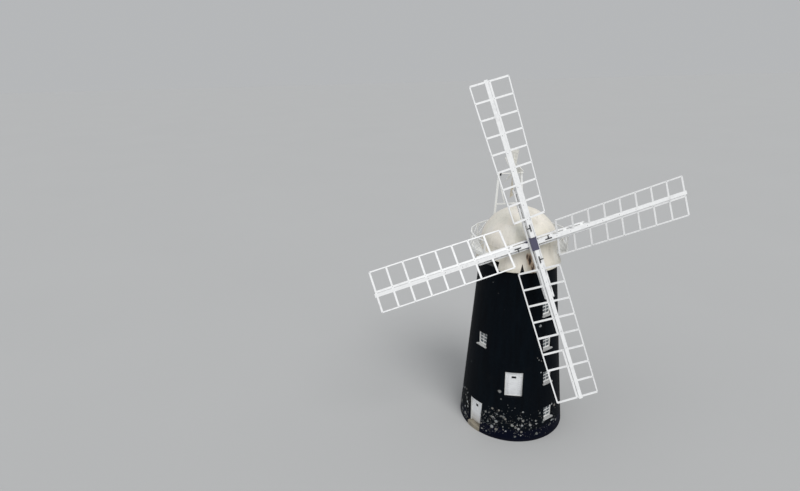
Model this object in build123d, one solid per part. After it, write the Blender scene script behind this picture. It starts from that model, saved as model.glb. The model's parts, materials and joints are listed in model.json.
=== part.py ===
from build123d import *
from math import atan2, cos, degrees, hypot, pi, radians, sin, sqrt
import os

# Tower windmill with a boarded dome cap, four open lattice sails and a fantail.
# The origin is on the ground on the tower's axis, +Z is up and the sails face -Y.
# An azimuth is measured from -Y towards +X. All sizes are in millimetres.

# General clearances
seat_gap = 0.3          # between curved faces that seat on each other
running_gap = 5.0       # between pieces that move past each other
cut_margin = 1.0        # by which a cut runs past the face that it opens

# Tower wall
base_radius = 3641.0
top_radius = 2526.302
tower_top = 12090.0
wall_at_base = 620.0
wall_at_top = 400.0
wall_seams = {
    "wall_front": (-60.0, 8.0),
    "wall_front_right": (8.0, 53.0),
    "wall_right": (53.0, 98.0),
    "wall_rear_right": (98.0, 143.0),
    "wall_rear": (143.0, 188.0),
    "wall_rear_left": (188.0, 233.0),
    "wall_left": (233.0, 300.0),
}

# Floors
ground_floor_top = 300.0
floor_tops = (3200.0, 5650.0, 8050.0)
floor_thickness = 150.0

# Entrance doorway
door_azimuth = -60.0
door_width = 1150.0
door_head = 2230.0
door_recess = 40.0
slot_sector = 20.0      # the wall over the door is cut from this much on either side
door_frame_width = 75.0
door_frame_depth = 120.0
door_leaf_thickness = 45.0
threshold_projection = 30.0
threshold_gap = 1.0     # to the ground floor
hinge_heights = (450.0, 1550.0)     # above the threshold
hinge_pin_radius = 8.0
hinge_eye_radius = 14.0
hinge_eye_height = 50.0
hinge_plate = 6.0
hinge_offset = 14.0
strap_length = 620.0
strap_lap = 28.0        # of the hinge's neck on the leaf
pintle_reach = 55.0
pintle_shelf = 25.0     # height of the shelf under each eye

# Loading hatch of the first floor
hatch_azimuth = -14.0
hatch_width = 1160.0
hatch_height = 1830.0
hatch_above_floor = 70.0
hatch_frame_width = 70.0
hatch_leaf_thickness = 50.0

# Windows, each (azimuth, middle height)
window_width = 770.0
window_height = 860.0
window_places = (
    (30.0, 1815.0), (30.0, 4480.0), (30.0, 6960.0), (30.0, 9350.0),
    (-60.0, 6900.0),
    (210.0, 1815.0), (210.0, 4480.0), (210.0, 6960.0), (210.0, 9350.0),
)
window_recess = 50.0
window_frame_width = 65.0
window_frame_depth = 90.0
glass_thickness = 6.0
sill_height = 70.0
sill_projection = 70.0
sill_lug = 55.0

# Curb and cap frame
curb_inset = 426.302    # from the wall's face to the curb's inner edge
curb_inner = top_radius - curb_inset
curb_height = 70.0
cap_ring_height = 90.0
cap_ring_inset = 20.0   # inside the wall's face
sheer_width = 200.0
sheer_height = 260.0
sheer_offset = 1000.0

# Cap shell, which follows the top of the wall
shell_thickness = 60.0
rim_clearance = 203.698             # between the wall's top and the skirt's inner face
rim_radius = top_radius + rim_clearance + shell_thickness
skirt_lap = 30.0                    # the rim hangs this far below the wall's top
rim_height = tower_top - skirt_lap
skirt_flare = 330.0
skirt_height = 1390.0
dome_radius = rim_radius - skirt_flare
dome_foot = rim_height + skirt_height
dome_height = 2150.0
dome_top = dome_foot + dome_height
shoulder_radius = 1500.0
neck_hole_radius = 330.0

# Damage of the skirt: a split up from the rim, a rusted hole and a part that is missing
split_azimuth = -10.5
split_width = 290.0
split_height = 540.0
rust_hole_azimuth = -0.3
rust_hole_height = 750.0            # above the rim
rust_hole_radius = 45.0
skirt_gap = (-78.0, -43.0)          # azimuths of the missing part
skirt_gap_height = 500.0

# Gallery round the sides and the back of the cap
gallery_start = 57.5
gallery_end = 302.5
gallery_bays = 13
gallery_width = 740.0
gallery_radius = dome_radius + gallery_width
deck_thickness = 45.0
deck_above_rim = 870.0
deck_top = rim_height + deck_above_rim
bracket_width = 110.0
bracket_depth = 170.0
rail_height = 1020.0
rail_post = 80.0
rail_bar = 55.0
rail_bottom = 110.0
cross_width = 44.0
cross_thickness = 33.0

# Windshaft and canister
hub_ahead = 240.0                   # of the rim
hub_forward = rim_radius + hub_ahead
hub_above_skirt = 640.0
hub_height = dome_foot + hub_above_skirt
shaft_tilt = 14.75
neck_radius = 200.0
shaft_radius = 175.0
tail_radius = 95.0
neck_end = 1500.0
shaft_end = 3450.0
tail_end = 3800.0
neck_bearing_at = 1150.0
tail_bearing_at = 3620.0
bearing_length = 220.0
bearing_wall = 70.0
bearing_gap = 0.5
weather_beam_depth = 360.0
weather_beam_top_width = 900.0
canister_wall = 60.0
canister_reach = 400.0

# Sails
sail_radius = 10000.0
heel_radius = 1600.0
arm_angle = 105.6       # first arm, anticlockwise from +X as seen from the front
sail_bays = 8
pair_offset = 170.0     # each pair of arms lies this far before or behind the hub's middle
leading_width = 1069.0
trailing_width = 1462.0
weather_heel = 24.5
weather_tip = 7.4
bar_width = 115.0
bar_thickness = 50.0
hemlath_width = 80.0
hemlath_thickness = 45.0
uplong_offset = 205.0   # the long board beside the whip, from the whip's middle
uplong_width = 130.0
whip_width = 250.0
whip_depth = 150.0
whip_tip_width = 220.0
whip_tip_depth = 110.0
whip_overhang = 130.0
stock_width = 300.0
stock_depth = 280.0
stock_reach = 4100.0
stock_end_width = 200.0
stock_end_depth = 180.0
clamp_width = 80.0
clamp_depth = 200.0
clamp_inset = 70.0      # behind the stock's front face
clamp_end = 3500.0
clamp_block_length = 200.0
clamp_block_places = (1300.0, 2200.0, 3300.0)
crank_radius = 1000.0
crank_bar = 60.0
crank_thickness = 40.0
crank_length = 420.0
crank_stem = 230.0

# Fantail
fan_inset = 450.0       # from the gallery's edge
fan_back = gallery_radius - fan_inset
fan_above_dome = 1640.0
fan_height = dome_top + fan_above_dome
fan_radius = 1700.0
fan_offset = 200.0      # the wheel stands to the right of the posts' middle
fan_blades = 6
fan_first_angle = 97.0
fan_pitch = 38.0
blade_start = 420.0
blade_root_width = 300.0
blade_tip_width = 620.0
blade_thickness = 28.0
fan_arm = 60.0
fan_arm_inset = 340.0   # from the blade's tip
fan_hub_radius = 150.0
fan_hub_length = 220.0
fan_shaft_radius = 35.0
fan_gear_gap = 40.0     # to the left bearing
fan_gear_radius = 130.0
fan_gear_length = 60.0
fan_gear_teeth = 16
fan_tooth_height = 22.0
fan_tooth_width = 26.0
fly_post_foot = 1080.0
fly_post_head = 800.0
fly_post_size = 140.0
fly_rail_above_deck = 2170.0
fly_rail_height = deck_top + fly_rail_above_deck
fly_rail_size = 90.0
brace_foot = 300.0
brace_thickness = 64.0
fan_bearing_size = 170.0


def outer_radius(z):
    return base_radius - (base_radius - top_radius) * z / tower_top


def inner_radius(z):
    return outer_radius(z) - wall_at_base + (wall_at_base - wall_at_top) * z / tower_top


def at_azimuth(shape, azimuth):
    return Rot(0, 0, azimuth) * shape


def span_box(x0, x1, y0, y1, z0, z1):
    return Pos((x0 + x1) / 2, (y0 + y1) / 2, (z0 + z1) / 2) * Box(x1 - x0, y1 - y0, z1 - z0)


def ring_sector(profile, start, end):
    face = make_face(Polyline(*[(r, 0, z) for r, z in profile], close=True))
    solid = revolve(face, axis=Axis.Z, revolution_arc=end - start)
    return Rot(0, 0, start - 90) * solid


def full_ring(profile):
    face = make_face(Polyline(*[(r, 0, z) for r, z in profile], close=True))
    return revolve(face, axis=Axis.Z)


# Tower

def face_distance(width, z):
    # Distance from the axis to a flat panel that lies just inside the curved outer face.
    return sqrt(outer_radius(z) ** 2 - (width / 2) ** 2)


def door_slot(z0, z1):
    box = span_box(-door_width / 2, door_width / 2, -base_radius - 2 * threshold_projection,
                   -curb_inner / 2, z0, z1)
    return at_azimuth(box, door_azimuth)


def hatch_sill():
    return floor_tops[0] + hatch_above_floor


def hatch_hole():
    box = span_box(-hatch_width / 2, hatch_width / 2, -base_radius, -curb_inner / 2,
                   hatch_sill(), hatch_sill() + hatch_height)
    return at_azimuth(box, hatch_azimuth)


def window_hole(azimuth, z):
    box = span_box(-window_width / 2, window_width / 2, -base_radius, -curb_inner / 2,
                   z - window_height / 2, z + window_height / 2)
    return at_azimuth(box, azimuth)


def window_face(z):
    return face_distance(window_width, z + window_height / 2) - window_recess


def sill_solid(z):
    top = z - window_height / 2
    front = -outer_radius(top) - sill_projection
    back = -window_face(z)
    return span_box(-window_width / 2 - sill_lug, window_width / 2 + sill_lug,
                    front, back, top - sill_height, top)


def wall_profile():
    return [(inner_radius(0), 0), (base_radius, 0),
            (top_radius, tower_top), (inner_radius(tower_top), tower_top)]


def in_sector(azimuth, start, end):
    return any(start < azimuth + turn < end for turn in (0, 360))


def make_wall(start, end):
    wall = ring_sector(wall_profile(), start, end)
    wall -= door_slot(-cut_margin, tower_top + cut_margin)
    if in_sector(hatch_azimuth, start, end):
        wall -= hatch_hole()
    for azimuth, z in window_places:
        if azimuth != door_azimuth and in_sector(azimuth, start, end):
            wall -= window_hole(azimuth, z)
            wall -= at_azimuth(sill_solid(z), azimuth)
    return wall


def make_wall_over_door():
    wall = ring_sector(wall_profile(), door_azimuth - slot_sector, door_azimuth + slot_sector)
    wall &= door_slot(door_head, tower_top + cut_margin)
    for azimuth, z in window_places:
        if azimuth == door_azimuth:
            wall -= window_hole(azimuth, z)
            wall -= at_azimuth(sill_solid(z), azimuth)
    return wall


def make_floor(top, thickness):
    bottom = top - thickness
    return full_ring([(0, bottom), (inner_radius(bottom) - seat_gap, bottom),
                      (inner_radius(top) - seat_gap, top), (0, top)])


def make_ground_floor():
    return make_floor(ground_floor_top, ground_floor_top)


def make_threshold():
    inner = inner_radius(0) + threshold_gap
    outer = base_radius + threshold_projection
    ring = full_ring([(inner, 0), (outer, 0), (outer, ground_floor_top), (inner, ground_floor_top)])
    return ring & door_slot(-cut_margin, ground_floor_top + cut_margin)


def door_plane():
    return face_distance(door_width, door_head) - door_recess


def make_door_frame():
    front = -door_plane()
    back = front + door_frame_depth
    outer = span_box(-door_width / 2, door_width / 2, front, back, ground_floor_top, door_head)
    inner = span_box(-door_width / 2 + door_frame_width, door_width / 2 - door_frame_width,
                     front - cut_margin, back + cut_margin,
                     ground_floor_top - cut_margin, door_head - door_frame_width)
    return at_azimuth(outer - inner, door_azimuth)


def leaf_half_width():
    return door_width / 2 - door_frame_width - running_gap


def leaf_back():
    return -door_plane() + door_frame_depth


def hinge_point():
    # The pin's place before the doorway is turned to its azimuth.
    return (-door_width / 2 + door_frame_width, leaf_back() + hinge_offset)


def make_door_leaf():
    half = leaf_half_width()
    leaf = span_box(-half, half, leaf_back() - door_leaf_thickness, leaf_back(),
                    ground_floor_top + running_gap, door_head - door_frame_width - running_gap)
    return at_azimuth(leaf, door_azimuth)


def make_door_straps():
    x, y = hinge_point()
    straps = []
    for height in hinge_heights:
        z = ground_floor_top + height
        bar = span_box(-leaf_half_width(), -leaf_half_width() + strap_length,
                       leaf_back(), leaf_back() + hinge_plate, z, z + hinge_eye_height)
        neck = span_box(x, -leaf_half_width() + strap_lap,
                        leaf_back(), leaf_back() + hinge_plate, z, z + hinge_eye_height)
        eye = Pos(x, y, z + hinge_eye_height / 2) * Cylinder(hinge_eye_radius, hinge_eye_height)
        bore = Pos(x, y, z + hinge_eye_height / 2) * Cylinder(hinge_pin_radius, 2 * hinge_eye_height)
        straps.append(at_azimuth(bar + neck + eye - bore, door_azimuth))
    return Compound(children=straps)


def make_door_pintles():
    x, y = hinge_point()
    pintles = []
    for height in hinge_heights:
        z = ground_floor_top + height
        foot = z - seat_gap - pintle_shelf
        pin = Pos(x, y, foot) * Cylinder(hinge_pin_radius - seat_gap,
                                         pintle_shelf + hinge_eye_height,
                                         align=(Align.CENTER, Align.CENTER, Align.MIN))
        shelf = Pos(x, y, foot) * Cylinder(hinge_eye_radius, pintle_shelf,
                                           align=(Align.CENTER, Align.CENTER, Align.MIN))
        plate = span_box(x - pintle_reach, x, leaf_back(), leaf_back() + hinge_plate,
                         foot, foot + pintle_shelf)
        pintles.append(at_azimuth(pin + shelf + plate, door_azimuth))
    return Compound(children=pintles)


def hatch_plane():
    return face_distance(hatch_width, hatch_sill() + hatch_height) - window_recess


def make_hatch_frame():
    front = -hatch_plane()
    back = front + window_frame_depth
    z0 = hatch_sill()
    z1 = z0 + hatch_height
    half = hatch_width / 2
    outer = span_box(-half, half, front, back, z0, z1)
    inner = span_box(-half + hatch_frame_width, half - hatch_frame_width,
                     front - cut_margin, back + cut_margin,
                     z0 + hatch_frame_width, z1 - hatch_frame_width)
    return at_azimuth(outer - inner, hatch_azimuth)


def make_hatch_leaf():
    front = -hatch_plane() + window_frame_depth - hatch_leaf_thickness
    z0 = hatch_sill() + hatch_frame_width
    z1 = hatch_sill() + hatch_height - hatch_frame_width
    half = hatch_width / 2 - hatch_frame_width
    return at_azimuth(span_box(-half, half, front, front + hatch_leaf_thickness, z0, z1),
                      hatch_azimuth)


def make_window_frames():
    frames = []
    for azimuth, z in window_places:
        front = -window_face(z)
        back = front + window_frame_depth
        half = window_width / 2
        rise = window_height / 2
        outer = span_box(-half, half, front, back, z - rise, z + rise)
        inner = span_box(-half + window_frame_width, half - window_frame_width,
                         front - cut_margin, back + cut_margin,
                         z - rise + window_frame_width, z + rise - window_frame_width)
        frames.append(at_azimuth(outer - inner, azimuth))
    return Compound(children=frames)


def make_window_glass():
    panes = []
    for azimuth, z in window_places:
        middle = -window_face(z) + window_frame_depth / 2
        half = window_width / 2 - window_frame_width
        rise = window_height / 2 - window_frame_width
        pane = span_box(-half, half, middle - glass_thickness / 2, middle + glass_thickness / 2,
                        z - rise, z + rise)
        panes.append(at_azimuth(pane, azimuth))
    return Compound(children=panes)


def make_window_sills():
    return Compound(children=[at_azimuth(sill_solid(z), azimuth) for azimuth, z in window_places])


def make_curb():
    outer = top_radius - running_gap
    top = tower_top + curb_height
    return full_ring([(curb_inner, tower_top), (outer, tower_top), (outer, top), (curb_inner, top)])


# Cap

def ring_foot():
    return tower_top + curb_height + seat_gap


def sheer_foot():
    return ring_foot() + cap_ring_height


def sheer_top():
    return sheer_foot() + sheer_height


def make_cap_ring():
    outer = top_radius - cap_ring_inset
    z0 = ring_foot()
    z1 = sheer_foot()
    return full_ring([(curb_inner, z0), (outer, z0), (outer, z1), (curb_inner, z1)])


def make_sheers():
    # The two main beams of the cap run from one side of the skirt to the other.
    room = skirt_body(shell_thickness + seat_gap)
    beams = [span_box(x - sheer_width / 2, x + sheer_width / 2, -rim_radius, rim_radius,
                      sheer_foot(), sheer_top()) & room
             for x in (-sheer_offset, sheer_offset)]
    return Compound(children=beams)


def skirt_arc_radius():
    return (skirt_flare ** 2 + skirt_height ** 2) / (2 * skirt_flare)


def skirt_radius(z):
    # Outer radius of the flared skirt, an arc that stands upright at the dome's foot.
    r = skirt_arc_radius()
    return dome_radius + r - sqrt(r ** 2 - (dome_foot - z) ** 2)


def skirt_edge(inset):
    # The skirt's side line from the rim to the dome's foot, moved inwards.
    middle = (rim_height + dome_foot) / 2
    return ThreePointArc((rim_radius - inset, 0, rim_height),
                         (skirt_radius(middle) - inset, 0, middle),
                         (dome_radius - inset, 0, dome_foot))


def make_skirt():
    outside = skirt_edge(0)
    inside = skirt_edge(shell_thickness)
    foot = Line(inside @ 0, outside @ 0)
    top = Line(inside @ 1, outside @ 1)
    face = make_face([foot, outside, top, inside])
    return revolve(face, axis=Axis.Z) - skirt_split() - rust_hole() - missing_skirt()


def skirt_split():
    half = split_width / 2
    foot = rim_height - running_gap
    wedge = make_face(Polyline((-half, 0, foot), (half, 0, foot),
                               (0, 0, rim_height + split_height), close=True))
    return at_azimuth(extrude(wedge, 2 * rim_radius, dir=(0, -1, 0)), split_azimuth)


def rust_hole():
    drill = Rot(90, 0, 0) * Cylinder(rust_hole_radius, rim_radius)
    height = rim_height + rust_hole_height
    return at_azimuth(Pos(0, -rim_radius, height) * drill, rust_hole_azimuth)


def missing_skirt():
    foot = rim_height - running_gap
    top = rim_height + skirt_gap_height
    inner = dome_radius - shell_thickness - running_gap
    outer = rim_radius + running_gap
    return ring_sector([(inner, foot), (outer, foot), (outer, top), (inner, top)], *skirt_gap)


def crown_centre():
    # Height of the crown arc's centre: the crown meets the shoulder arc smoothly.
    reach = dome_radius - shoulder_radius
    top = dome_top - shoulder_radius
    return (top ** 2 - dome_foot ** 2 - reach ** 2) / (2 * (top - dome_foot))


def dome_edge(inset):
    # A shoulder arc that stands upright at the dome's foot, then a crown arc to the axis.
    reach = dome_radius - shoulder_radius
    rise = dome_foot - crown_centre()
    lift = atan2(rise, reach)
    shoulder = shoulder_radius - inset
    crown = dome_top - crown_centre() - inset
    joint = (crown * cos(lift), 0, crown_centre() + crown * sin(lift))
    middle = (reach + shoulder * cos(lift / 2), 0, dome_foot + shoulder * sin(lift / 2))
    half = (lift + pi / 2) / 2
    high = (crown * cos(half), 0, crown_centre() + crown * sin(half))
    lower = ThreePointArc((dome_radius - inset, 0, dome_foot), middle, joint)
    upper = ThreePointArc(joint, high, (0, 0, crown_centre() + crown))
    return lower, upper


def make_dome():
    outside = dome_edge(0)
    inside = dome_edge(shell_thickness)
    foot = Line(inside[0] @ 0, outside[0] @ 0)
    crown = Line(inside[1] @ 1, outside[1] @ 1)
    face = make_face([foot, *outside, crown, *inside])
    dome = revolve(face, axis=Axis.Z)
    hole = hub_frame() * Pos(0, dome_radius / 2, 0) * Rot(90, 0, 0) * Cylinder(neck_hole_radius,
                                                                             dome_radius)
    return dome - hole


def skirt_body(inset):
    # Everything inside the skirt's outer face moved inwards.
    outside = skirt_edge(inset)
    foot = Line((0, 0, rim_height), outside @ 0)
    top = Line((0, 0, dome_foot), outside @ 1)
    axis_line = Line((0, 0, rim_height), (0, 0, dome_foot))
    return revolve(make_face([foot, outside, top, axis_line]), axis=Axis.Z)


def deck_bottom():
    return deck_top - deck_thickness


def make_gallery_deck():
    ring = ring_sector([(dome_radius, deck_bottom()), (gallery_radius, deck_bottom()),
                        (gallery_radius, deck_top), (dome_radius, deck_top)],
                       gallery_start, gallery_end)
    return ring - skirt_body(-seat_gap)


def bay_azimuths():
    margin = degrees(rail_post / 2 / gallery_radius)
    first = gallery_start + margin
    step = (gallery_end - gallery_start - 2 * margin) / gallery_bays
    return [first + i * step for i in range(gallery_bays + 1)]


def rail_line_radius():
    return gallery_radius - rail_post / 2


def make_gallery_brackets():
    body = skirt_body(-seat_gap)
    brackets = []
    for azimuth in bay_azimuths():
        top = deck_bottom()
        side = make_face(Polyline((0, -dome_radius, top), (0, -gallery_radius, top),
                                  (0, -gallery_radius, top - rail_bar),
                                  (0, -dome_radius, top - bracket_depth), close=True))
        beam = extrude(side, bracket_width / 2, dir=(1, 0, 0), both=True)
        brackets.append(at_azimuth(beam, azimuth) - body)
    return Compound(children=brackets)


def make_gallery_posts():
    posts = []
    for azimuth in bay_azimuths():
        r = rail_line_radius()
        half = rail_post / 2
        post = span_box(-half, half, -r - half, -r + half, deck_top, deck_top + rail_height)
        posts.append(at_azimuth(post, azimuth))
    return Compound(children=posts)


def rail_panel(length, height):
    # A flat panel in the XZ plane: top rail, bottom rail and a cross between them.
    half = length / 2
    bar = rail_bar / 2
    top = span_box(-half, half, -bar, bar, height - rail_bar, height)
    foot = span_box(-half, half, -bar, bar, rail_bottom, rail_bottom + rail_bar)
    rise = height - rail_bottom - rail_bar
    slope = degrees(atan2(rise, length))
    middle = (height + rail_bottom) / 2
    span = hypot(length, rise)
    cross = Pos(0, 0, middle) * Rot(0, -slope, 0) * Box(span, cross_thickness, cross_width)
    cross += Pos(0, 0, middle) * Rot(0, slope, 0) * Box(span, cross_thickness, cross_width)
    cross &= span_box(-half, half, -rail_bar, rail_bar, rail_bottom, height)
    return top + foot + cross


def make_gallery_rails():
    azimuths = bay_azimuths()
    posts = make_gallery_posts()
    panels = []
    for a, b in zip(azimuths, azimuths[1:]):
        half_turn = radians(b - a) / 2
        middle_radius = rail_line_radius() * cos(half_turn)
        length = 2 * rail_line_radius() * sin(half_turn)
        panel = Pos(0, -middle_radius, deck_top) * rail_panel(length, rail_height)
        panel = at_azimuth(panel, (a + b) / 2)
        for post in posts.children:
            panel -= post
        panels.append(panel)
    return Compound(children=panels)


def hub_frame():
    return Pos(0, -hub_forward, hub_height) * Rot(-shaft_tilt, 0, 0)


def shaft_point(a):
    # A point of the windshaft's axis, a behind the hub's middle: (y, z).
    t = radians(shaft_tilt)
    return (-hub_forward + a * cos(t), hub_height - a * sin(t))


def beam_under(a, radius, depth, top_width):
    # A trapezoid beam on the sheers, with its top square under the shaft's bearing.
    y, z = shaft_point(a)
    top = z - radius - bearing_wall
    low = sheer_offset + sheer_width / 2
    outline = make_face(Polyline((-low, y, sheer_top()), (low, y, sheer_top()),
                                 (top_width / 2, y, top), (-top_width / 2, y, top), close=True))
    return extrude(outline, depth / 2, dir=(0, 1, 0), both=True)


def bearing_block(a, radius):
    # A block round the lower half of the shaft, on a level foot.
    y, z = shaft_point(a)
    half = radius + bearing_wall
    block = span_box(-half, half, y - bearing_length / 2, y + bearing_length / 2,
                     z - radius - bearing_wall, z)
    bore = hub_frame() * Pos(0, a, 0) * Rot(90, 0, 0) * Cylinder(radius + bearing_gap,
                                                                 3 * bearing_length)
    return block - bore


def make_shaft_beams():
    weather = beam_under(neck_bearing_at, neck_radius, weather_beam_depth, weather_beam_top_width)
    tail = beam_under(tail_bearing_at, tail_radius, weather_beam_depth, weather_beam_top_width)
    return Compound(children=[weather, tail])


def make_shaft_bearings():
    return Compound(children=[bearing_block(neck_bearing_at, neck_radius),
                              bearing_block(tail_bearing_at, tail_radius)])


# Fly posts behind the cap

def post_line(side):
    foot = Vector(side * fly_post_foot, fan_back, deck_top)
    head = Vector(side * fly_post_head, fan_back, fan_height - fan_bearing_size / 2)
    return foot, head


def make_fly_post(side):
    foot, head = post_line(side)
    half = fly_post_size / 2
    outline = make_face(Polyline((foot.X - half, fan_back, foot.Z), (foot.X + half, fan_back, foot.Z),
                                 (head.X + half, fan_back, head.Z), (head.X - half, fan_back, head.Z),
                                 close=True))
    return extrude(outline, half, dir=(0, 1, 0), both=True)


def make_fly_posts():
    return Compound(children=[make_fly_post(-1), make_fly_post(1)])


def make_fly_rail():
    z = fly_rail_height
    half = fly_rail_size / 2
    rail = span_box(-fly_post_foot, fly_post_foot, fan_back - half, fan_back + half,
                    z - half, z + half)
    for side in (-1, 1):
        rail -= make_fly_post(side)
    return max(rail.solids(), key=lambda piece: piece.volume)


def make_fly_brace():
    # From under the head of the left post down to the rail.
    half = fly_rail_size / 2
    high = fan_height - fan_bearing_size
    low = fly_rail_height + half
    outline = make_face(Polyline((-brace_foot - half, fan_back, low), (-brace_foot + half, fan_back, low),
                                 (-fly_post_head + half, fan_back, high),
                                 (-fly_post_head - half, fan_back, high), close=True))
    brace = extrude(outline, brace_thickness / 2, dir=(0, 1, 0), both=True)
    return brace - make_fly_post(-1)


def make_fan_bearings():
    blocks = []
    for side in (-1, 1):
        block = Pos(side * fly_post_head, fan_back, fan_height) * Box(fly_post_size,
                                                                     fan_bearing_size,
                                                                     fan_bearing_size)
        bore = Pos(0, fan_back, fan_height) * Rot(0, 90, 0) * Cylinder(fan_shaft_radius + bearing_gap,
                                                                      4 * fly_post_head)
        blocks.append(block - bore)
    return Compound(children=blocks)


# Fantail

def fan_frame():
    return Pos(fan_offset, fan_back, fan_height)


def make_fan_wheel():
    shaft = Pos(-fan_offset, 0, 0) * Rot(0, 90, 0) * Cylinder(fan_shaft_radius,
                                                           2 * fly_post_head + 2 * fly_post_size)
    hub = Rot(0, 90, 0) * Cylinder(fan_hub_radius, fan_hub_length)
    wheel = shaft + hub
    for i in range(fan_blades):
        arm = Rot(fan_first_angle - 90 + i * 360 / fan_blades, 0, 0) * Rot(0, 0, fan_pitch) * span_box(
            -fan_arm / 2, fan_arm / 2, -fan_arm / 2, fan_arm / 2, 0, fan_radius - fan_arm_inset)
        wheel += arm
    return fan_frame() * wheel


def make_fan_gear():
    # A toothed wheel on the shaft beside the left post.
    gear = Rot(0, 90, 0) * Cylinder(fan_gear_radius, fan_gear_length)
    half = fan_gear_length / 2
    for i in range(fan_gear_teeth):
        tooth = span_box(-half, half, -fan_tooth_width / 2, fan_tooth_width / 2,
                         0, fan_gear_radius + fan_tooth_height)
        gear += Rot(i * 360 / fan_gear_teeth, 0, 0) * tooth
    gear -= Rot(0, 90, 0) * Cylinder(fan_shaft_radius, 2 * fan_gear_length)
    place = fly_post_head - fly_post_size / 2 - fan_gear_gap - fan_gear_length / 2
    return fan_frame() * Pos(-fan_offset - place, 0, 0) * gear


def make_fan_blades():
    blades = []
    for i in range(fan_blades):
        face = make_face(Polyline((fan_arm / 2, -blade_root_width / 2, blade_start),
                                  (fan_arm / 2, blade_root_width / 2, blade_start),
                                  (fan_arm / 2, blade_tip_width / 2, fan_radius),
                                  (fan_arm / 2, -blade_tip_width / 2, fan_radius), close=True))
        blade = extrude(face, blade_thickness, dir=(1, 0, 0))
        turn = Rot(fan_first_angle - 90 + i * 360 / fan_blades, 0, 0) * Rot(0, 0, fan_pitch)
        blades.append(fan_frame() * turn * blade)
    return Compound(children=blades)


# Windshaft and sails, modelled about the hub with the front towards -Y

def arm_turn(arm):
    # Arms 0 to 3 go clockwise from the first, as seen from the front.
    return Rot(0, 90 - arm_angle + 90 * arm, 0)


def pair_plane(arm):
    return -pair_offset if arm % 2 == 0 else pair_offset


def whip_back(arm):
    return pair_plane(arm) + whip_depth / 2


def weather(r):
    share = (r - heel_radius) / (sail_radius - heel_radius)
    return weather_heel + (weather_tip - weather_heel) * share


def bar_radii():
    step = (sail_radius - heel_radius) / sail_bays
    return [heel_radius + i * step for i in range(sail_bays + 1)]


def edge_point(r, s):
    w = radians(weather(r))
    return Vector(s * cos(w), s * sin(w), r)


def sail_bar(r, low, high):
    middle = (low + high) / 2
    bar = Box(high - low, bar_thickness, bar_width)
    return Pos(0, 0, r) * Rot(0, 0, weather(r)) * Pos(middle, 0, 0) * bar


def arm_bars(arm, reach):
    # The bars of one arm up to a radius, as the mortises that they pass through.
    return [Pos(0, pair_plane(arm), 0) * sail_bar(r, -leading_width, trailing_width)
            for r in bar_radii() if r <= reach]


def long_piece(r0, r1, s, width):
    a = edge_point(r0, s)
    b = edge_point(r1, s)
    w = radians(weather((r0 + r1) / 2))
    plane = Plane(origin=(a + b) / 2, x_dir=Vector(cos(w), sin(w), 0), z_dir=b - a)
    return plane * Box(width, hemlath_thickness, (b - a).length + hemlath_width / 2)


def make_lattice(arm, missing_bars=(), missing_boards=()):
    # What a lattice lacks is listed by number from the heel: bars on the trailing side and
    # lengths of the board beside the whip. The board is let into the whip and the stock.
    radii = bar_radii()
    timbers = Pos(0, -pair_plane(arm), 0) * (whip_solid(arm) + stock_beam(arm))
    pieces = []
    for i, r in enumerate(radii):
        high = uplong_offset if i in missing_bars else trailing_width
        pieces.append(sail_bar(r, -leading_width, high))
    for i, (r0, r1) in enumerate(zip(radii, radii[1:])):
        pieces.append(long_piece(r0, r1, -leading_width, hemlath_width))
        pieces.append(long_piece(r0, r1, trailing_width, hemlath_width))
        if i not in missing_boards:
            pieces.append(long_piece(r0, r1, uplong_offset, uplong_width) - timbers)
    lattice = Part() + pieces
    return hub_frame() * arm_turn(arm) * Pos(0, pair_plane(arm), 0) * lattice


def tapered_beam(z0, z1, sizes0, sizes1):
    # Sizes are (half width, front, back) at each end.
    half0, front0, back0 = sizes0
    half1, front1, back1 = sizes1
    reach = max(half0, half1)
    side = make_face(Polyline((0, front0, z0), (0, back0, z0), (0, back1, z1), (0, front1, z1),
                              close=True))
    wide = make_face(Polyline((-half0, 0, z0), (half0, 0, z0), (half1, 0, z1), (-half1, 0, z1),
                              close=True))
    depth = max(abs(v) for v in (front0, back0, front1, back1))
    return (extrude(side, reach, dir=(1, 0, 0), both=True)
            & extrude(wide, 2 * depth, dir=(0, 1, 0), both=True))


def canister_half():
    return stock_width / 2 + canister_wall


def canister_box(arm):
    # The canister's box round the stock of one pair, in the arm's own frame.
    front = whip_back(arm)
    half = canister_half()
    return span_box(-half, half, front - canister_wall, front + stock_depth + canister_wall,
                    -canister_reach, canister_reach)


def whip_start(arm):
    # The front pair's whips start beyond the canister. The rear pair's are let over it and
    # start beside the front pair's clamps.
    if arm % 2 == 0:
        return canister_reach + running_gap
    return canister_half() + clamp_width + running_gap


def whip_solid(arm):
    back = whip_back(arm)
    beam = tapered_beam(whip_start(arm), sail_radius + whip_overhang,
                        (whip_width / 2, back - whip_depth, back),
                        (whip_tip_width / 2, back - whip_tip_depth, back))
    return beam - canister_box(arm)


def make_whip(arm):
    whip = whip_solid(arm)
    for bar in arm_bars(arm, sail_radius):
        whip -= bar
    return hub_frame() * arm_turn(arm) * whip


def make_whips():
    return Compound(children=[make_whip(arm) for arm in range(4)])


def stock_beam(arm):
    front = whip_back(arm)
    full = (stock_width / 2, front, front + stock_depth)
    end = (stock_end_width / 2, front, front + stock_end_depth)
    middle = tapered_beam(-clamp_end, clamp_end, full, full)
    up = tapered_beam(clamp_end, stock_reach, full, end)
    down = tapered_beam(-stock_reach, -clamp_end, end, full)
    return middle + up + down


def make_stock(arm):
    stock = stock_beam(arm)
    for turn in (0, 180):
        for bar in arm_bars(arm, stock_reach):
            stock -= Rot(0, turn, 0) * bar
    return hub_frame() * arm_turn(arm) * stock


def make_stocks():
    return Compound(children=[make_stock(0), make_stock(1)])


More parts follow.
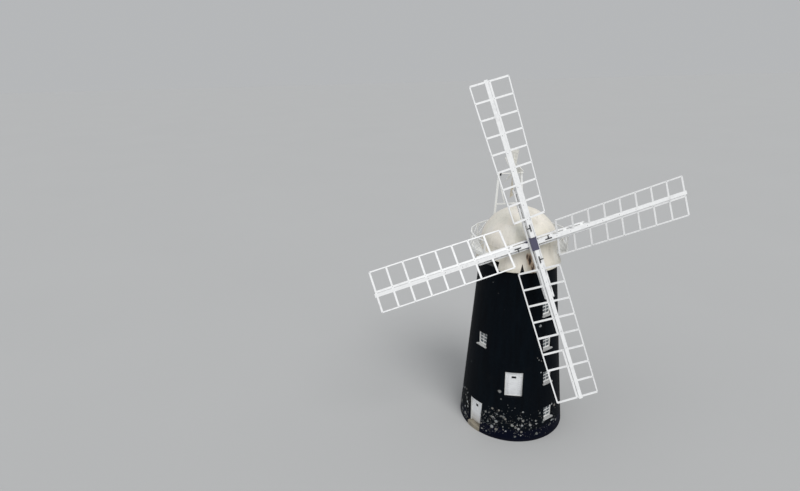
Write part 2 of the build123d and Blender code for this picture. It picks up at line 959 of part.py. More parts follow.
def make_clamp(arm, turn):
    # A timber along one side of a stock, with the blocks that hold it off the stock.
    front = whip_back(arm) + clamp_inset
    back = front + clamp_depth
    inner = canister_half()
    clamp = span_box(inner, inner + clamp_width, front, back, -clamp_end, clamp_end)
    for place in clamp_block_places:
        for z in (-place, place):
            clamp += span_box(stock_width / 2, inner, front, back,
                              z - clamp_block_length / 2, z + clamp_block_length / 2)
    clamp = Rot(0, turn, 0) * clamp
    for bar_turn in (0, 180):
        for bar in arm_bars(arm, clamp_end):
            clamp -= Rot(0, bar_turn, 0) * bar
    return hub_frame() * arm_turn(arm) * clamp


def make_sail_clamps():
    return Compound(children=[make_clamp(arm, turn) for arm in (0, 1) for turn in (0, 180)])


def make_sail_cranks():
    # A bar let onto the whip's front with a lever towards the leading side.
    cranks = []
    for arm in range(4):
        front = whip_back(arm) - whip_depth - crank_thickness
        base = span_box(-crank_bar / 2, crank_bar / 2, front, front + 2 * crank_thickness,
                        crank_radius - crank_length / 2, crank_radius + crank_length / 2)
        stem = span_box(-crank_stem, 0, front, front + crank_thickness,
                        crank_radius - crank_bar / 2, crank_radius + crank_bar / 2)
        cranks.append(hub_frame() * arm_turn(arm) * (base + stem - whip_solid(arm)))
    return Compound(children=cranks)


def make_canister():
    canister = arm_turn(0) * canister_box(0) + arm_turn(1) * canister_box(1)
    for arm in (0, 1):
        front = whip_back(arm)
        canister -= arm_turn(arm) * span_box(-stock_width / 2, stock_width / 2,
                                             front, front + stock_depth,
                                             -2 * canister_reach, 2 * canister_reach)
    return hub_frame() * canister


def canister_back():
    return whip_back(1) + stock_depth + canister_wall


def make_windshaft():
    pieces = []
    for a0, a1, radius in ((canister_back(), neck_end, neck_radius),
                           (neck_end, shaft_end, shaft_radius),
                           (shaft_end, tail_end, tail_radius)):
        pieces.append(Pos(0, (a0 + a1) / 2, 0) * Rot(90, 0, 0) * Cylinder(radius, a1 - a0))
    return hub_frame() * (pieces[0] + pieces[1] + pieces[2])


def write(name, shape):
    export_step(shape, "parts/" + name + ".step")


def main():
    os.makedirs("parts", exist_ok=True)
    for name, (start, end) in wall_seams.items():
        write(name, make_wall(start, end))
    write("wall_over_door", make_wall_over_door())
    write("ground_floor", make_ground_floor())
    for name, top in zip(("first_floor", "second_floor", "third_floor"), floor_tops):
        write(name, make_floor(top, floor_thickness))
    write("door_threshold", make_threshold())
    write("door_frame", make_door_frame())
    write("door_pintles", make_door_pintles())
    write("door_leaf", make_door_leaf())
    write("door_straps", make_door_straps())
    write("hatch_frame", make_hatch_frame())
    write("hatch_leaf", make_hatch_leaf())
    write("window_frames", make_window_frames())
    write("window_glass", make_window_glass())
    write("window_sills", make_window_sills())
    write("curb", make_curb())
    write("cap_ring", make_cap_ring())
    write("cap_sheers", make_sheers())
    write("shaft_beams", make_shaft_beams())
    write("shaft_bearings", make_shaft_bearings())
    write("cap_skirt", make_skirt())
    write("cap_dome", make_dome())
    write("gallery_brackets", make_gallery_brackets())
    write("gallery_deck", make_gallery_deck())
    write("gallery_posts", make_gallery_posts())
    write("gallery_rails", make_gallery_rails())
    write("fly_posts", make_fly_posts())
    write("fly_rail", make_fly_rail())
    write("fly_brace", make_fly_brace())
    write("fan_bearings", make_fan_bearings())
    write("windshaft", make_windshaft())
    write("canister", make_canister())
    write("stocks", make_stocks())
    write("whips", make_whips())
    for arm, name in enumerate(("upper", "right", "lower", "left")):
        missing = ((7,), (4,)) if name == "lower" else ((), ())
        write("lattice_" + name, make_lattice(arm, *missing))
    write("sail_clamps", make_sail_clamps())
    write("sail_cranks", make_sail_cranks())
    write("fan_wheel", make_fan_wheel())
    write("fan_gear", make_fan_gear())
    write("fan_blades", make_fan_blades())


main()
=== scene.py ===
import json
import math
import random

import bpy
from mathutils import Matrix, Vector


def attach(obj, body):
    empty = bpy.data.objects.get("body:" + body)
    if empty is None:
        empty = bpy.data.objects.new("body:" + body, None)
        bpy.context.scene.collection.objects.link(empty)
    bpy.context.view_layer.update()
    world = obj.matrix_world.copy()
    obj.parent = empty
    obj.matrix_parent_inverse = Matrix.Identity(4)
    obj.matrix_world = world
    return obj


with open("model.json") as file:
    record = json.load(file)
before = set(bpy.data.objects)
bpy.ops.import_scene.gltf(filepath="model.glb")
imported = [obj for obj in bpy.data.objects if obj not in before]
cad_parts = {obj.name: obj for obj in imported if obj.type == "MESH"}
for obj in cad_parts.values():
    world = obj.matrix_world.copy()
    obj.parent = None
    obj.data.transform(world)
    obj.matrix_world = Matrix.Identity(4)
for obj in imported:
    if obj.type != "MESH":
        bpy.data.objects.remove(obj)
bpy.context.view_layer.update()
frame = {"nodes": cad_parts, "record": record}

# A tarred tower windmill: materials for the solids, thin pieces that dress them, and the stage.
# Sizes are in metres in the part's frame, with the ground at z = 0 and the sails facing -Y.
# An azimuth is in degrees from -Y towards +X.

# The photograph's camera, solved from the sails and the tower
CAMERA_AT = Vector((-10.249, -32.791, 24.803))
YAW = math.radians(4.0667)
PITCH = math.radians(19.2622)
ROLL = math.radians(-1.3565)
LENS = 23.918
SENSOR = 36.0

# Tower
BASE_RADIUS = 3.641
BATTER = 0.0922         # by which the radius shrinks for each metre of height
TOWER_TOP = 12.09

# Entrance door
DOOR_AZIMUTH = -60.0
DOOR_WIDTH = 1.15
DOOR_HEAD = 2.23
DOOR_RECESS = 0.04
DOOR_FRAME_WIDTH = 0.075
DOOR_FRAME_DEPTH = 0.12
DOOR_LEAF = 0.045       # thickness
DOOR_PLAY = 0.005
DOOR_FOOT = 0.306       # of the boards
DOOR_BOARDS = 7
DOOR_PANE = ((-0.11, 0.11), (1.63, 1.83))
DOOR_LEDGES = (0.52, 1.95)
LEDGE_NAILS = 7
NAIL_INSET = 0.07
LOCK_HEIGHT = 1.29

# Loading hatch of the first floor
HATCH_AZIMUTH = -14.0
HATCH_WIDTH = 1.16
HATCH_SILL = 3.27
HATCH_HEIGHT = 1.83
HATCH_RECESS = 0.05
HATCH_FRAME_WIDTH = 0.07
HATCH_FRAME_DEPTH = 0.09
HATCH_LEAF = 0.05
HATCH_BOARDS = 11
HATCH_PANE = ((-0.15, 0.15), (4.60, 4.76))
HATCH_LEDGES = (-0.33, 0.33)

# Boards of both leaves: depths are in front of the leaf, and a lap reaches into what carries it
BOARD_DEPTH = 0.014
BOARD_GAP = 0.004
BOARD_UNEVEN = 0.0015
LEDGE_DEPTH = 0.030
PANE_DEPTH = 0.006
TRIM_WIDTH = 0.022
LAP = 0.001
SLIVER = 0.01           # a narrower rest of a board is left out

# Windows, each (azimuth, middle height), with depths behind the frame's face
WINDOW_WIDTH = 0.77
WINDOW_HEIGHT = 0.86
WINDOW_RECESS = 0.05
WINDOW_FRAME = 0.065    # width
WINDOWS = ((30, 1.815), (30, 4.48), (30, 6.96), (30, 9.35), (-60, 6.9),
           (210, 1.815), (210, 4.48), (210, 6.96), (210, 9.35))
GLASS_DEPTH = 0.042
BAR_HALF = 0.018
BAR_DEPTH = 0.014
PUTTY_WIDTH = 0.014
PUTTY_RISE = 0.016      # in front of the glass
SILL_HEIGHT = 0.07
SILL_LUG = 0.055

# Bricks
COURSE = 0.075
JOINT = 0.010
STRETCHER = 0.225
HEADER = 0.1125
ARCH = 0.225
BRICK_PROUD = (0.0045, 0.0075)
BRICK_SINK = 0.02
LEAST_BRICK = 0.02
LEAST_COURSE = 0.015

# Single flakes of lost tar, each (azimuth, height, half size)
LONE_FLAKES = ((-29.6, 3.61, 0.12), (-27.5, 3.07, 0.06), (18.3, 8.29, 0.10), (19.6, 4.96, 0.05),
               (16.6, 5.9, 0.05), (14.4, 6.07, 0.04), (20.3, 5.78, 0.05), (-81.0, 2.35, 0.07))

# Cap
RIM_RADIUS = 2.79
RIM_HEIGHT = 12.06
DOME_RADIUS = 2.46
DOME_FOOT = 13.45
DOME_TOP = 15.6
SHOULDER = 1.5
GORES = 16
SKIRT_ROWS = 8
SHOULDER_ROWS = 6
CROWN_ROWS = 18
SKIRT_BREAKS = ((-12.0, -9.0, 12.53), (-78.0, -43.0, 12.56))     # azimuths and the break's top
SEAM_HALF = 0.014
SEAM_RISE = 0.009
SEAM_SINK = 0.02
SEAM_END = 0.22         # radius under the crown's cover
BAND_HEIGHT = 0.06
BAND_RISE = 0.010
CROWN_RINGS = ((0.30, -0.045), (0.30, -0.005), (0.27, 0.008), (0.10, 0.024))
CROWN_PEAK = 0.026      # above the dome

# Marks on the cap, each (azimuth, height, half width in degrees, half height)
MOSS = (-14, 14.8, 20, 0.6)
WARM_PATCH = (28, 13.9, 24, 0.8)
# The first run starts at the hole under the windshaft, where its near-black core is also painted shade
# for the hole.
RUST_RUNS_AND_HOLE_SHADE = ((-0.3, 12.85, 4.0, 0.42), (3.6, 12.35, 3.4, 0.42), (-3.4, 13.05, 2.6, 0.26))
RUST_WASH = (0.3, 12.75, 6.5, 0.72)
BLUSH = (11, 13.25, 8, 0.28)

# Gallery
GALLERY_START = 57.5
GALLERY_END = 302.5
GALLERY_BAYS = 13
GALLERY_RADIUS = 3.2
DECK_INNER = 2.512
DECK_TOP = 12.93
PLANK_WIDTH = 0.145
PLANK_RADIUS = 2.9      # where a plank's width is measured
PLANK_GAP = 0.004
PLANK_RISE = 0.010
PLANK_UNEVEN = 0.003
RAIL_POST = 0.08
RAIL_TOP = 1.02
RAIL_BAR = 0.055
RAIL_LOW = 0.11

# Sails
ARM_ANGLE = 105.6       # first arm, anticlockwise from +X as seen from the front
HUB = Vector((0.0, -3.03, 14.09))
SHAFT_TILT = 14.75
HEEL_RADIUS = 1.6
SAIL_RADIUS = 10.0
SAIL_BAYS = 8
PAIR_OFFSET = 0.17
LEADING = 1.069
TRAILING = 1.462
UPLONG = 0.205
MISSING_BAR = (2, 7)    # arm and bar whose trailing end is missing
WEATHER_HEEL = 24.5
WEATHER_TIP = 7.4
WHIP_DEPTH = 0.15
WHIP_TAPER = 0.04       # by which the front of a whip falls back at its tip
WHIP_BOLTS = (1.3, 2.2, 3.3, 4.3, 5.4, 6.5)
BOLT_SHIFT = 0.25       # of the whips' bolts, past the clamps' blocks
BAR_THICKNESS = 0.05
CANISTER_HALF = 0.21
CANISTER_REACH = 0.4
CANISTER_WALL = 0.06
FLANGE_LENGTH = 0.06
FLANGE_DEPTH = 0.018
CLAMP_INSET = 0.07
CLAMP_WIDTH = 0.08
CLAMP_DEPTH = 0.2
CLAMP_BLOCKS = (1.3, 2.2, 3.3)

# Fantail
FAN = Vector((0.2, 2.75, 17.24))
FAN_FIRST = 97.0        # first blade, from +Y towards +Z
FAN_PITCH = 38.0
FAN_BLADES = 6
FAN_ARM = 0.06
FAN_RADIUS = 1.7
BLADE_START = 0.42
BLADE_ROOT_WIDTH = 0.30
BLADE_TIP_WIDTH = 0.62
BLADE_THICKNESS = 0.028
BLADE_BOLTS = (0.50, 0.80, 1.10, 1.32)
BLADE_LEDGES = (0.55, 1.02, 1.5)
LEDGE_HALF = 0.022

# Bolts and nails, each (radius, height)
BAR_BOLT = (0.011, 0.010)
BLADE_BOLT = (0.010, 0.009)
BOX_BOLT = (0.016, 0.014)
LARGE_BOLT = (0.014, 0.012)
RAIL_BOLT = (0.012, 0.008)
CAP_NAIL = (0.006, 0.005)
DOOR_NAIL = (0.007, 0.006)
KNOB = (0.018, 0.050)


def outer_radius(z):
    return BASE_RADIUS - BATTER * z


# Node materials

class Net:
    """A material's node tree with short calls for the nodes it uses."""

    def __init__(self, name):
        self.material = bpy.data.materials.new(name)
        self.material.use_nodes = True
        self.tree = self.material.node_tree
        self.tree.nodes.clear()
        self.shader = self.tree.nodes.new("ShaderNodeBsdfPrincipled")
        output = self.tree.nodes.new("ShaderNodeOutputMaterial")
        self.tree.links.new(self.shader.outputs["BSDF"], output.inputs["Surface"])
        place = self.tree.nodes.new("ShaderNodeTexCoord")
        self.place = place.outputs["Object"]
        self.split = self.node("ShaderNodeSeparateXYZ", {0: self.place}).outputs

    def node(self, kind, inputs=None, **settings):
        node = self.tree.nodes.new(kind)
        for key, value in settings.items():
            setattr(node, key, value)
        for key, value in (inputs or {}).items():
            self.feed(node.inputs[key], value)
        return node

    def feed(self, socket, value):
        if isinstance(value, bpy.types.NodeSocket):
            self.tree.links.new(value, socket)
        else:
            socket.default_value = value

    def math(self, operation, a, b=0.0, clamp=False):
        node = self.node("ShaderNodeMath", {0: a, 1: b}, operation=operation, use_clamp=clamp)
        return node.outputs[0]

    def add(self, a, b, clamp=False):
        return self.math("ADD", a, b, clamp)

    def subtract(self, a, b, clamp=False):
        return self.math("SUBTRACT", a, b, clamp)

    def multiply(self, a, b, clamp=False):
        return self.math("MULTIPLY", a, b, clamp)

    def divide(self, a, b):
        return self.math("DIVIDE", a, b)

    def scaled(self, x, y, z):
        """The part's own coordinates, stretched along the axes."""
        node = self.node("ShaderNodeMapping", {"Vector": self.place, "Scale": (x, y, z)})
        return node.outputs[0]

    def noise(self, scale, detail=3.0, rough=0.55, vector=None, kind="Fac"):
        node = self.node("ShaderNodeTexNoise", {"Vector": vector or self.place, "Scale": scale,
                                                "Detail": detail, "Roughness": rough})
        return node.outputs[kind]

    def random(self, seed):
        """One random tone for each whole number."""
        return self.node("ShaderNodeTexWhiteNoise", {"W": seed}, noise_dimensions="1D").outputs[0]

    def ramp(self, factor, *stops):
        node = self.node("ShaderNodeValToRGB", {0: factor})
        points = node.color_ramp.elements
        while len(points) < len(stops):
            points.new(0.5)
        for point, (place, colour) in zip(points, stops):
            if not isinstance(colour, tuple):
                colour = (colour, colour, colour)
            point.position = place
            point.color = (*colour, 1)
        return node.outputs[0]

    def mix(self, factor, a, b):
        """Colour a where the factor is 0, and colour b where it is 1."""
        node = self.node("ShaderNodeMix", data_type="RGBA")
        self.feed(node.inputs["Factor"], factor)
        for socket, value in ((node.inputs[6], a), (node.inputs[7], b)):
            if isinstance(value, tuple):
                value = (*value, 1)
            self.feed(socket, value)
        return node.outputs[2]

    def patches(self, pattern, low, high, share, base, tone):
        """A second tone over a base, where a pattern is high."""
        return self.mix(self.ramp(pattern, (low, 0.0), (high, share)), base, tone)

    def bump(self, height, distance, strength):
        inputs = {"Height": height, "Distance": distance, "Strength": strength}
        return self.node("ShaderNodeBump", inputs).outputs[0]

    def finish(self, colour, rough, normal=None):
        self.feed(self.shader.inputs["Base Color"], colour)
        self.feed(self.shader.inputs["Roughness"], rough)
        if normal is not None:
            self.feed(self.shader.inputs["Normal"], normal)
        return self.material


class RoundNet(Net):
    """A net that knows azimuth and height, to place marks on the tower and the cap."""

    def __init__(self, name):
        super().__init__(name)
        back = self.multiply(self.split[1], -1.0)
        turn = self.math("ARCTAN2", self.split[0], back)
        self.turn = self.divide(turn, 2 * math.pi)      # from -0.5 to 0.5
        self.height = self.split[2]

    def spot(self, azimuth, z, wide, tall):
        """A soft oval mark, 1 in its middle and 0 outside."""
        across = self.divide(self.subtract(self.turn, azimuth / 360), wide / 360)
        along = self.divide(self.subtract(self.height, z), tall)
        reach = self.add(self.multiply(across, across), self.multiply(along, along))
        return self.subtract(1.0, reach, clamp=True)

    def stain(self, mark, pattern, share, base, tone):
        """A second tone over a base in one oval mark, broken up by a pattern."""
        there = self.multiply(self.spot(*mark), pattern)
        return self.mix(self.multiply(there, share, clamp=True), base, tone)


def flakes(net, zone, scale, least, spread):
    """Round ragged flakes, one in a cell: how bare the wall is, and a tone for each flake."""
    ragged = net.node("ShaderNodeVectorMath", {0: net.noise(16, 3, 0.7, kind="Color"),
                                               1: (0.4 / scale,) * 3}, operation="MULTIPLY")
    warped = net.node("ShaderNodeVectorMath", {0: net.place, 1: ragged.outputs[0]}, operation="ADD")
    cells = net.node("ShaderNodeTexVoronoi", {"Vector": warped.outputs[0], "Scale": scale},
                     feature="F1").outputs
    parts = net.node("ShaderNodeSeparateColor", {0: cells["Color"]}).outputs
    size = net.add(least, net.multiply(parts[0], spread))
    inside = net.subtract(size, cells["Distance"])
    bare = net.ramp(net.multiply(inside, 10.0), (0.0, 0.0), (0.5, 1.0))
    chosen = net.math("LESS_THAN", parts[2], zone)
    return net.multiply(bare, chosen), parts[1]


def flaked_zone(net):
    """How many flakes there are: a band above the foot, most of them at the front left."""
    low = net.ramp(net.divide(net.height, 4.0), (0.05, 0.0), (0.10, 1.0), (0.46, 1.0), (0.60, 0.0))
    front = net.ramp(net.add(net.turn, 0.5), (0.15, 0.15), (0.24, 0.55), (0.36, 0.85), (0.48, 0.75),
                     (0.54, 0.30), (0.62, 0.30), (0.75, 0.12))
    drift = net.ramp(net.noise(1.1, 3, 0.6), (0.38, 0.25), (0.58, 1.3))
    return net.multiply(net.multiply(low, front), drift)


def lone_flakes(net, bare):
    """Adds the flakes that stand alone to how bare the wall is."""
    ragged = net.multiply(net.noise(14, 3, 0.7), 1.6)
    for azimuth, z, reach in LONE_FLAKES:
        wide = math.degrees(reach / outer_radius(z))
        lone = net.multiply(net.spot(azimuth, z, 1.4 * wide, 1.4 * reach), ragged)
        bare = net.math("MAXIMUM", bare, net.ramp(lone, (0.40, 0.0), (0.5, 1.0)))
    return bare


def bare_brick(net, shade, hue):
    """Grey and brown brick, with a tone for each flake and each brick."""
    brick = net.ramp(shade, (0.0, (0.52, 0.55, 0.56)), (0.22, (0.11, 0.14, 0.15)),
                     (0.38, (0.36, 0.37, 0.35)), (0.52, (0.06, 0.08, 0.09)),
                     (0.66, (0.62, 0.66, 0.68)), (0.80, (0.17, 0.18, 0.17)), (1.0, (0.30, 0.29, 0.27)))
    brick = net.mix(net.multiply(hue, 0.5), brick, (0.22, 0.19, 0.16))
    return net.mix(net.multiply(net.noise(60, 3), 0.5), brick, (0.13, 0.12, 0.11))


def old_tar_and_sheen(net, tone):
    """Black tar, its blue tint and lighter upright streaks partly painted sheen of the sky over its own
    streaks, worn grey in places, navy near the foot and dusty on it.
    """
    tar_and_sheen_streak = net.noise(1.0, 4, 0.6, net.scaled(3.2, 3.2, 0.25))
    # Painted sheen: the blue tint and the lighter upright streaks stand in for the sky's reflection, on
    # top of the tar's own streaks.
    tar = net.ramp(tar_and_sheen_streak, (0.35, (0.0004, 0.0016, 0.0036)), (0.7, (0.0014, 0.0044, 0.0080)))
    tar = net.mix(net.multiply(net.noise(0.55, 3, 0.5), 0.3), tar, (0.0030, 0.0032, 0.0040))
    tar = net.mix(net.multiply(tone, 0.22), tar, (0.0045, 0.0065, 0.0090))
    tar = net.patches(net.noise(0.8, 4, 0.7), 0.62, 0.80, 0.30, tar, (0.014, 0.013, 0.014))
    wave = net.multiply(net.noise(0.9, 3, 0.6), 0.25)
    band = net.ramp(net.add(net.multiply(net.height, 0.5), wave), (0.52, 0.8), (0.60, 0.0))
    tar = net.mix(band, tar, (0.0013, 0.0024, 0.0105))
    dust = net.multiply(net.ramp(net.height, (0.0, 0.22), (0.25, 0.0)), net.noise(5, 4, 0.7))
    return net.mix(dust, tar, (0.050, 0.045, 0.035))


def tarred_brick():
    """Black tar on brickwork that has flaked off near the foot, most on the front."""
    net = RoundNet("tarred_brick")
    mark = net.node("ShaderNodeAttribute", attribute_name="brick")
    tone, hue, _ = net.node("ShaderNodeSeparateColor", {0: mark.outputs["Color"]}).outputs
    zone = flaked_zone(net)
    large, shade = flakes(net, zone, 4.0, 0.20, 0.32)
    small, _ = flakes(net, net.add(zone, 0.004), 11.0, 0.08, 0.34)
    bare = net.math("MAXIMUM", large, net.multiply(small, 0.6))
    bare = lone_flakes(net, bare)
    colour = net.mix(bare, old_tar_and_sheen(net, tone), bare_brick(net, shade, hue))
    rough = net.add(net.multiply(net.noise(7, 4), 0.20), 0.50)
    rough = net.add(rough, net.multiply(bare, 0.3), clamp=True)
    net.shader.inputs["Specular IOR Level"].default_value = 0.06
    grain = net.add(net.noise(45, 4), net.multiply(bare, -0.8))
    return net.finish(colour, rough, net.bump(grain, 0.004, 0.7))


def plain_stone(name, low, high):
    net = Net(name)
    colour = net.ramp(net.noise(9, 5, 0.65), (0.3, low), (0.7, high))
    dirt = tuple(0.45 * v for v in low)
    colour = net.patches(net.noise(2.2, 4, 0.6), 0.45, 0.75, 0.6, colour, dirt)
    fine = net.bump(net.noise(81, 4), 0.004, 0.6)
    return net.finish(colour, 0.85, fine)


def streaked_sill():
    net = Net("sill_stone")
    drip = net.noise(1.0, 4, 0.7, net.scaled(22, 22, 1.5))
    colour = net.ramp(drip, (0.40, (0.58, 0.58, 0.57)), (0.60, (0.24, 0.24, 0.23)),
                      (0.8, (0.12, 0.12, 0.12)))
    fine = net.bump(net.noise(50, 4), 0.003, 0.6)
    return net.finish(colour, 0.8, fine)


def timber(name, low, high, board, wear=(0.2, 0.19, 0.17)):
    """Weathered wood: boards of one width side by side along X, with their grain along Y."""
    net = Net(name)
    tone = net.random(net.math("FLOOR", net.divide(net.split[0], board)))
    grain = net.noise(1.0, 5, 0.7, net.scaled(14.0, 0.8, 14.0))
    colour = net.ramp(grain, (0.3, low), (0.7, high))
    colour = net.mix(net.multiply(tone, 0.4), colour, wear)
    return net.finish(colour, 0.75, net.bump(grain, 0.004, 0.6))


def gore_tones(net):
    """A tone for each gore of the skirt and of the dome."""
    gore = net.math("FLOOR", net.multiply(net.turn, float(GORES)))
    above = net.subtract(net.height, RIM_HEIGHT)
    tier = net.math("FLOOR", net.divide(above, DOME_FOOT - RIM_HEIGHT))
    tone = net.random(net.add(gore, net.multiply(tier, 31.7)))
    return net.ramp(tone, (0.0, (0.73, 0.68, 0.58)), (0.4, (0.79, 0.74, 0.66)),
                    (0.7, (0.69, 0.66, 0.57)), (1.0, (0.81, 0.77, 0.70)))


def cap_weathering(net, cloud, base):
    """Clouds, pale patches, runs of dirt, specks, moss, a warm patch and a dirty rim."""
    base = net.patches(cloud, 0.45, 0.72, 0.40, base, (0.56, 0.54, 0.47))
    pale = net.noise(0.8, 3, 0.5, net.scaled(1.3, 1.3, 1.3))
    base = net.patches(pale, 0.55, 0.75, 0.5, base, (0.77, 0.74, 0.71))
    runs = net.noise(1.0, 5, 0.65, net.scaled(9, 9, 0.5))
    base = net.patches(runs, 0.52, 0.75, 0.35, base, (0.42, 0.40, 0.34))
    base = net.patches(net.noise(30, 3, 0.6), 0.60, 0.72, 0.45, base, (0.38, 0.36, 0.31))
    base = net.stain(MOSS, net.noise(2.2, 4, 0.7), 0.45, base, (0.50, 0.53, 0.45))
    base = net.stain(WARM_PATCH, net.noise(1.6, 4, 0.6), 0.9, base, (0.80, 0.75, 0.60))
    rim = net.divide(net.subtract(net.height, RIM_HEIGHT), 0.4)
    rim = net.multiply(net.subtract(1.0, rim, clamp=True), net.noise(4, 4, 0.7), clamp=True)
    return net.mix(rim, base, (0.36, 0.34, 0.27))


def cap_rust_and_hole_shade(net, ragged, base):
    """Rust that has run down the skirt from the hole under the windshaft; at the hole its near-black
    core is also painted shade for the hole.
    """
    stain = net.spot(*RUST_RUNS_AND_HOLE_SHADE[0])
    for mark in RUST_RUNS_AND_HOLE_SHADE[1:]:
        stain = net.math("MAXIMUM", stain, net.spot(*mark))
    drips = net.noise(1.0, 4, 0.7, net.scaled(7, 7, 1.3))
    stain = net.multiply(stain, net.ramp(drips, (0.30, 0.30), (0.62, 1.0)))
    stain = net.multiply(stain, net.add(ragged, 0.55), clamp=True)
    # The near-black end of this ramp is dark rust, and at the hole under the windshaft it is also
    # painted shade for the hole.
    rust = net.ramp(stain, (0.05, (0.62, 0.46, 0.28)), (0.26, (0.46, 0.23, 0.09)),
                    (0.50, (0.13, 0.062, 0.030)), (0.72, (0.030, 0.018, 0.012)))
    base = net.stain(RUST_WASH, net.noise(9, 4, 0.7), 1.1, base, (0.52, 0.41, 0.27))
    return net.mix(net.ramp(stain, (0.0, 0.0), (0.30, 0.45), (0.65, 1.0)), base, rust)


def cap_skin():
    """Weathered boards with dirt, grey moss, rust with painted shade at the hole under the windshaft,
    and a reddish blush beside it.
    """
    net = RoundNet("cap_boards")
    cloud = net.noise(1.1, 4, 0.6)
    ragged = net.noise(5, 5, 0.75)
    base = cap_weathering(net, cloud, gore_tones(net))
    base = cap_rust_and_hole_shade(net, ragged, base)
    base = net.stain(BLUSH, ragged, 1.2, base, (0.60, 0.43, 0.36))
    rough = net.add(0.45, net.multiply(cloud, 0.3))
    waves = net.add(net.noise(3, 3), net.multiply(net.noise(50, 3), 0.15))
    return net.finish(base, rough, net.bump(waves, 0.02, 0.5))


def paint(name, light, dark, dirt):
    """Old oil paint on wood: brush grain, faint greying and darker dirt in places."""
    net = Net(name)
    grain = net.noise(6.0, 5, 0.7)
    colour = net.ramp(grain, (0.35, light), (0.75, dark))
    colour = net.patches(net.noise(1.6, 4, 0.65), 0.55, 0.78, 0.65, colour, dirt)
    shine = net.add(0.4, net.multiply(grain, 0.25))
    return net.finish(colour, shine, net.bump(net.noise(40, 4), 0.002, 0.5))


def fan_paint():
    """Old white paint, with a tone for each blade told apart by its angle: the grey blade and the beige
    one are painted shade for blades turned from the light.
    """
    net = Net("fan_paint")
    back = net.subtract(net.split[1], FAN.y)
    rise = net.subtract(net.split[2], FAN.z)
    angle = net.add(net.math("ARCTAN2", rise, back), 2 * math.pi)
    number = net.divide(angle, 2 * math.pi / FAN_BLADES)
    number = net.add(number, 0.5 - FAN_FIRST * FAN_BLADES / 360)
    blade = net.math("FLOOR", net.math("MODULO", number, float(FAN_BLADES)))
    share = net.divide(net.add(blade, 0.5), float(FAN_BLADES))
    # Painted shade: the grey and beige stops darken the blades that face away from the light.
    tone = net.ramp(share, (0.08, (0.84, 0.82, 0.76)), (0.25, (0.80, 0.79, 0.75)),
                    (0.42, (0.64, 0.64, 0.62)), (0.58, (0.62, 0.56, 0.45)),
                    (0.75, (0.84, 0.83, 0.79)), (0.92, (0.80, 0.78, 0.72)))
    colour = net.patches(net.noise(6.0, 5, 0.7), 0.45, 0.75, 0.3, tone, (0.50, 0.48, 0.43))
    colour = net.patches(net.noise(2.4, 4, 0.65), 0.58, 0.80, 0.4, colour, (0.42, 0.40, 0.35))
    return net.finish(colour, 0.6, net.bump(net.noise(40, 4), 0.002, 0.5))


def door_paint():
    """White boards, upright on the door and level on the hatch, stained at the door's foot."""
    net = Net("door_paint")
    height = net.split[2]
    upright = net.noise(1.0, 5, 0.7, net.scaled(30, 30, 2))
    level = net.noise(1.0, 5, 0.7, net.scaled(2, 2, 30))
    upper = net.math("GREATER_THAN", height, HATCH_SILL)
    grain = net.add(net.multiply(level, upper), net.multiply(upright, net.subtract(1.0, upper)))
    colour = net.ramp(grain, (0.35, (0.84, 0.85, 0.85)), (0.75, (0.64, 0.65, 0.67)))
    foot = net.subtract(1.0, net.divide(height, 1.1), clamp=True)
    foot = net.multiply(foot, net.add(net.noise(5, 4, 0.7), 0.25), clamp=True)
    colour = net.mix(foot, colour, (0.34, 0.29, 0.23))
    colour = net.patches(net.noise(3.5, 4, 0.65), 0.58, 0.75, 0.5, colour, (0.42, 0.41, 0.38))
    return net.finish(colour, 0.55, net.bump(grain, 0.003, 0.5))


def iron(name, base, rust, share, rough):
    net = Net(name)
    patch = net.ramp(net.noise(9, 5, 0.7), (0.62 - share, 0.0), (0.78 - share, 1.0))
    colour = net.mix(patch, base, rust)
    shine = net.add(rough, net.multiply(patch, 0.25), clamp=True)
    fine = net.bump(net.noise(55, 5, 0.7), 0.004, 0.7)
    return net.finish(colour, shine, fine)


def window_glass():
    """Dusty opaque panes, whose dark colour is painted shade for the unlit rooms behind them."""
    net = Net("window_glass")
    haze = net.ramp(net.noise(4, 4, 0.6), (0.4, 0.05), (0.8, 0.30))
    # Painted shade: the dark grey tones stand in for the rooms seen through the glass.
    tint = net.ramp(net.noise(2.0, 3), (0.3, (0.070, 0.084, 0.096)), (0.7, (0.16, 0.18, 0.19)))
    net.shader.inputs["IOR"].default_value = 1.5
    ripple = net.bump(net.noise(3, 2), 0.004, 0.3)
    return net.finish(tint, haze, ripple)


